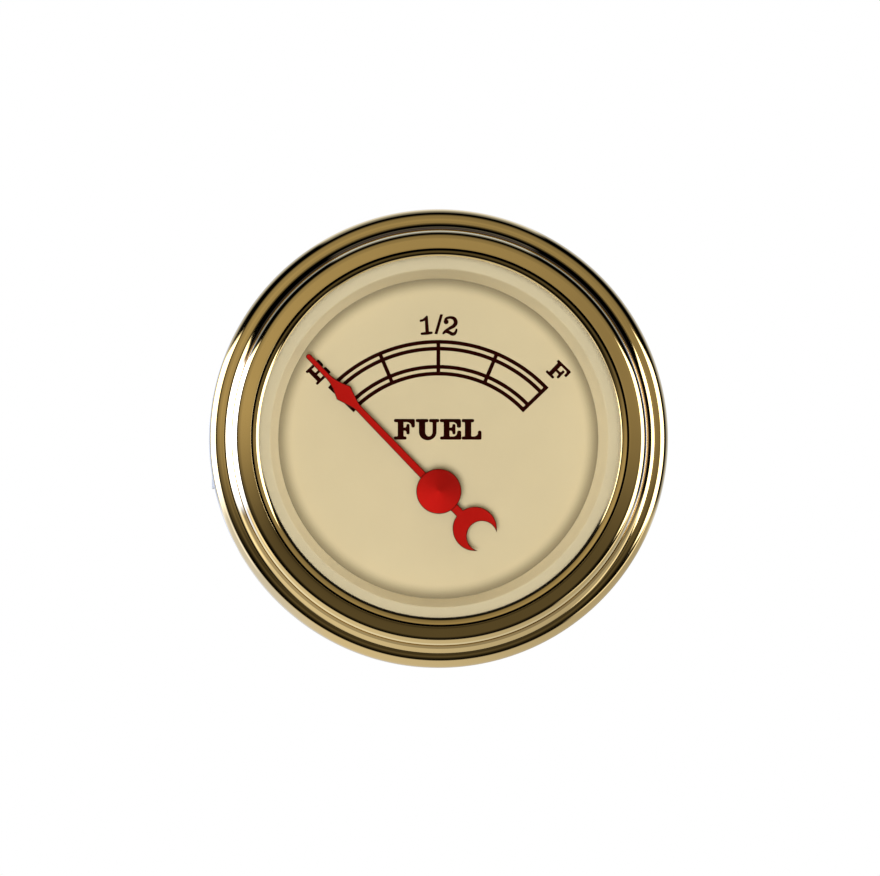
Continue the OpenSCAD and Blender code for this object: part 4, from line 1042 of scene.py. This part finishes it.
def lamp(name, place, size, power, lit=(), blockers=()):
    """A round soft lamp that points at the gauge, flagged so as to light some pieces alone."""
    data = bpy.data.lights.new(name, "AREA")
    data.shape = "DISK"
    data.size = size
    data.energy = power
    made = added(name, data)
    made.location = place
    aim(made, -Vector(place))
    made.visible_glossy = False
    made.visible_camera = False
    for side, pieces in (("receiver", lit), ("blocker", blockers)):
        if pieces:
            group = bpy.data.collections.new(f"{name}_{side}s")
            for ob in pieces:
                group.objects.link(ob)
            setattr(made.light_linking, side + "_collection", group)


studio()
HUB = [bpy.data.objects["needle_hub_cap"]]
POINTER = [needle, *HUB]
FACE = [ob for ob in bpy.data.objects
        if ob.name.startswith(("dial_", "needle_")) and ob not in HUB]
RING = [bpy.data.objects["trim_ring_pressed"]]
lamp("key_low_left", (-0.0954, -0.563, -0.1528), 0.36, 3.03, FACE, POINTER)
lamp("hub_low_left", (-0.227, -0.436, -0.344), 0.3, 4.0, HUB, HUB)
lamp("ring_front", (0.0, -0.6, 0.0), 0.3, 2.38, RING)
lamp("ring_left", (-0.58, -0.16, 0.0), 0.3, 1.5, RING, RING)
lamp("ring_right", (0.58, -0.16, 0.0), 0.3, 1.5, RING, RING)
lamp("rear_soft", (0.35, 0.7, 0.55), 0.5, 2.0)

FLOOR_Z = -0.075
floor_mesh = bpy.data.meshes.new("floor")
floor_mesh.from_pydata([(x, y, FLOOR_Z) for x, y in ((-1, -1), (1, -1), (1, 0.5), (-1, 0.5))],
                       [], [(0, 1, 2, 3)])
floor = added("floor", floor_mesh)
floor_mesh.materials.append(surface("floor_pale", (0.86, 0.86, 0.85), 0.8, blotch=(4.0, 0.01),
                                    grain=(400.0, 1e-5), specular=0.1))
floor.visible_glossy = False
floor.visible_shadow = False

# The camera stands 2 m off, a little to the left of the dial's axis and a little below it
CAMERA_OFF, CAMERA_LEFT, CAMERA_BELOW = 2.0, 2.2, 1.3
CAMERA_AIM = Vector((0.000203, -0.0015, 0.000076))
TOWARD = Vector((-tan(radians(CAMERA_LEFT)), -1.0, -tan(radians(CAMERA_BELOW)))).normalized()
eye = bpy.data.cameras.new("eye")
eye.sensor_width = 36.0
eye.lens = 625.4
eye.clip_start, eye.clip_end = 0.01, 20.0
camera = added("eye", eye)
camera.location = CAMERA_AIM + CAMERA_OFF * TOWARD
aim(camera, -TOWARD)
bpy.context.scene.camera = camera
bpy.context.scene.view_settings.view_transform = "Standard"
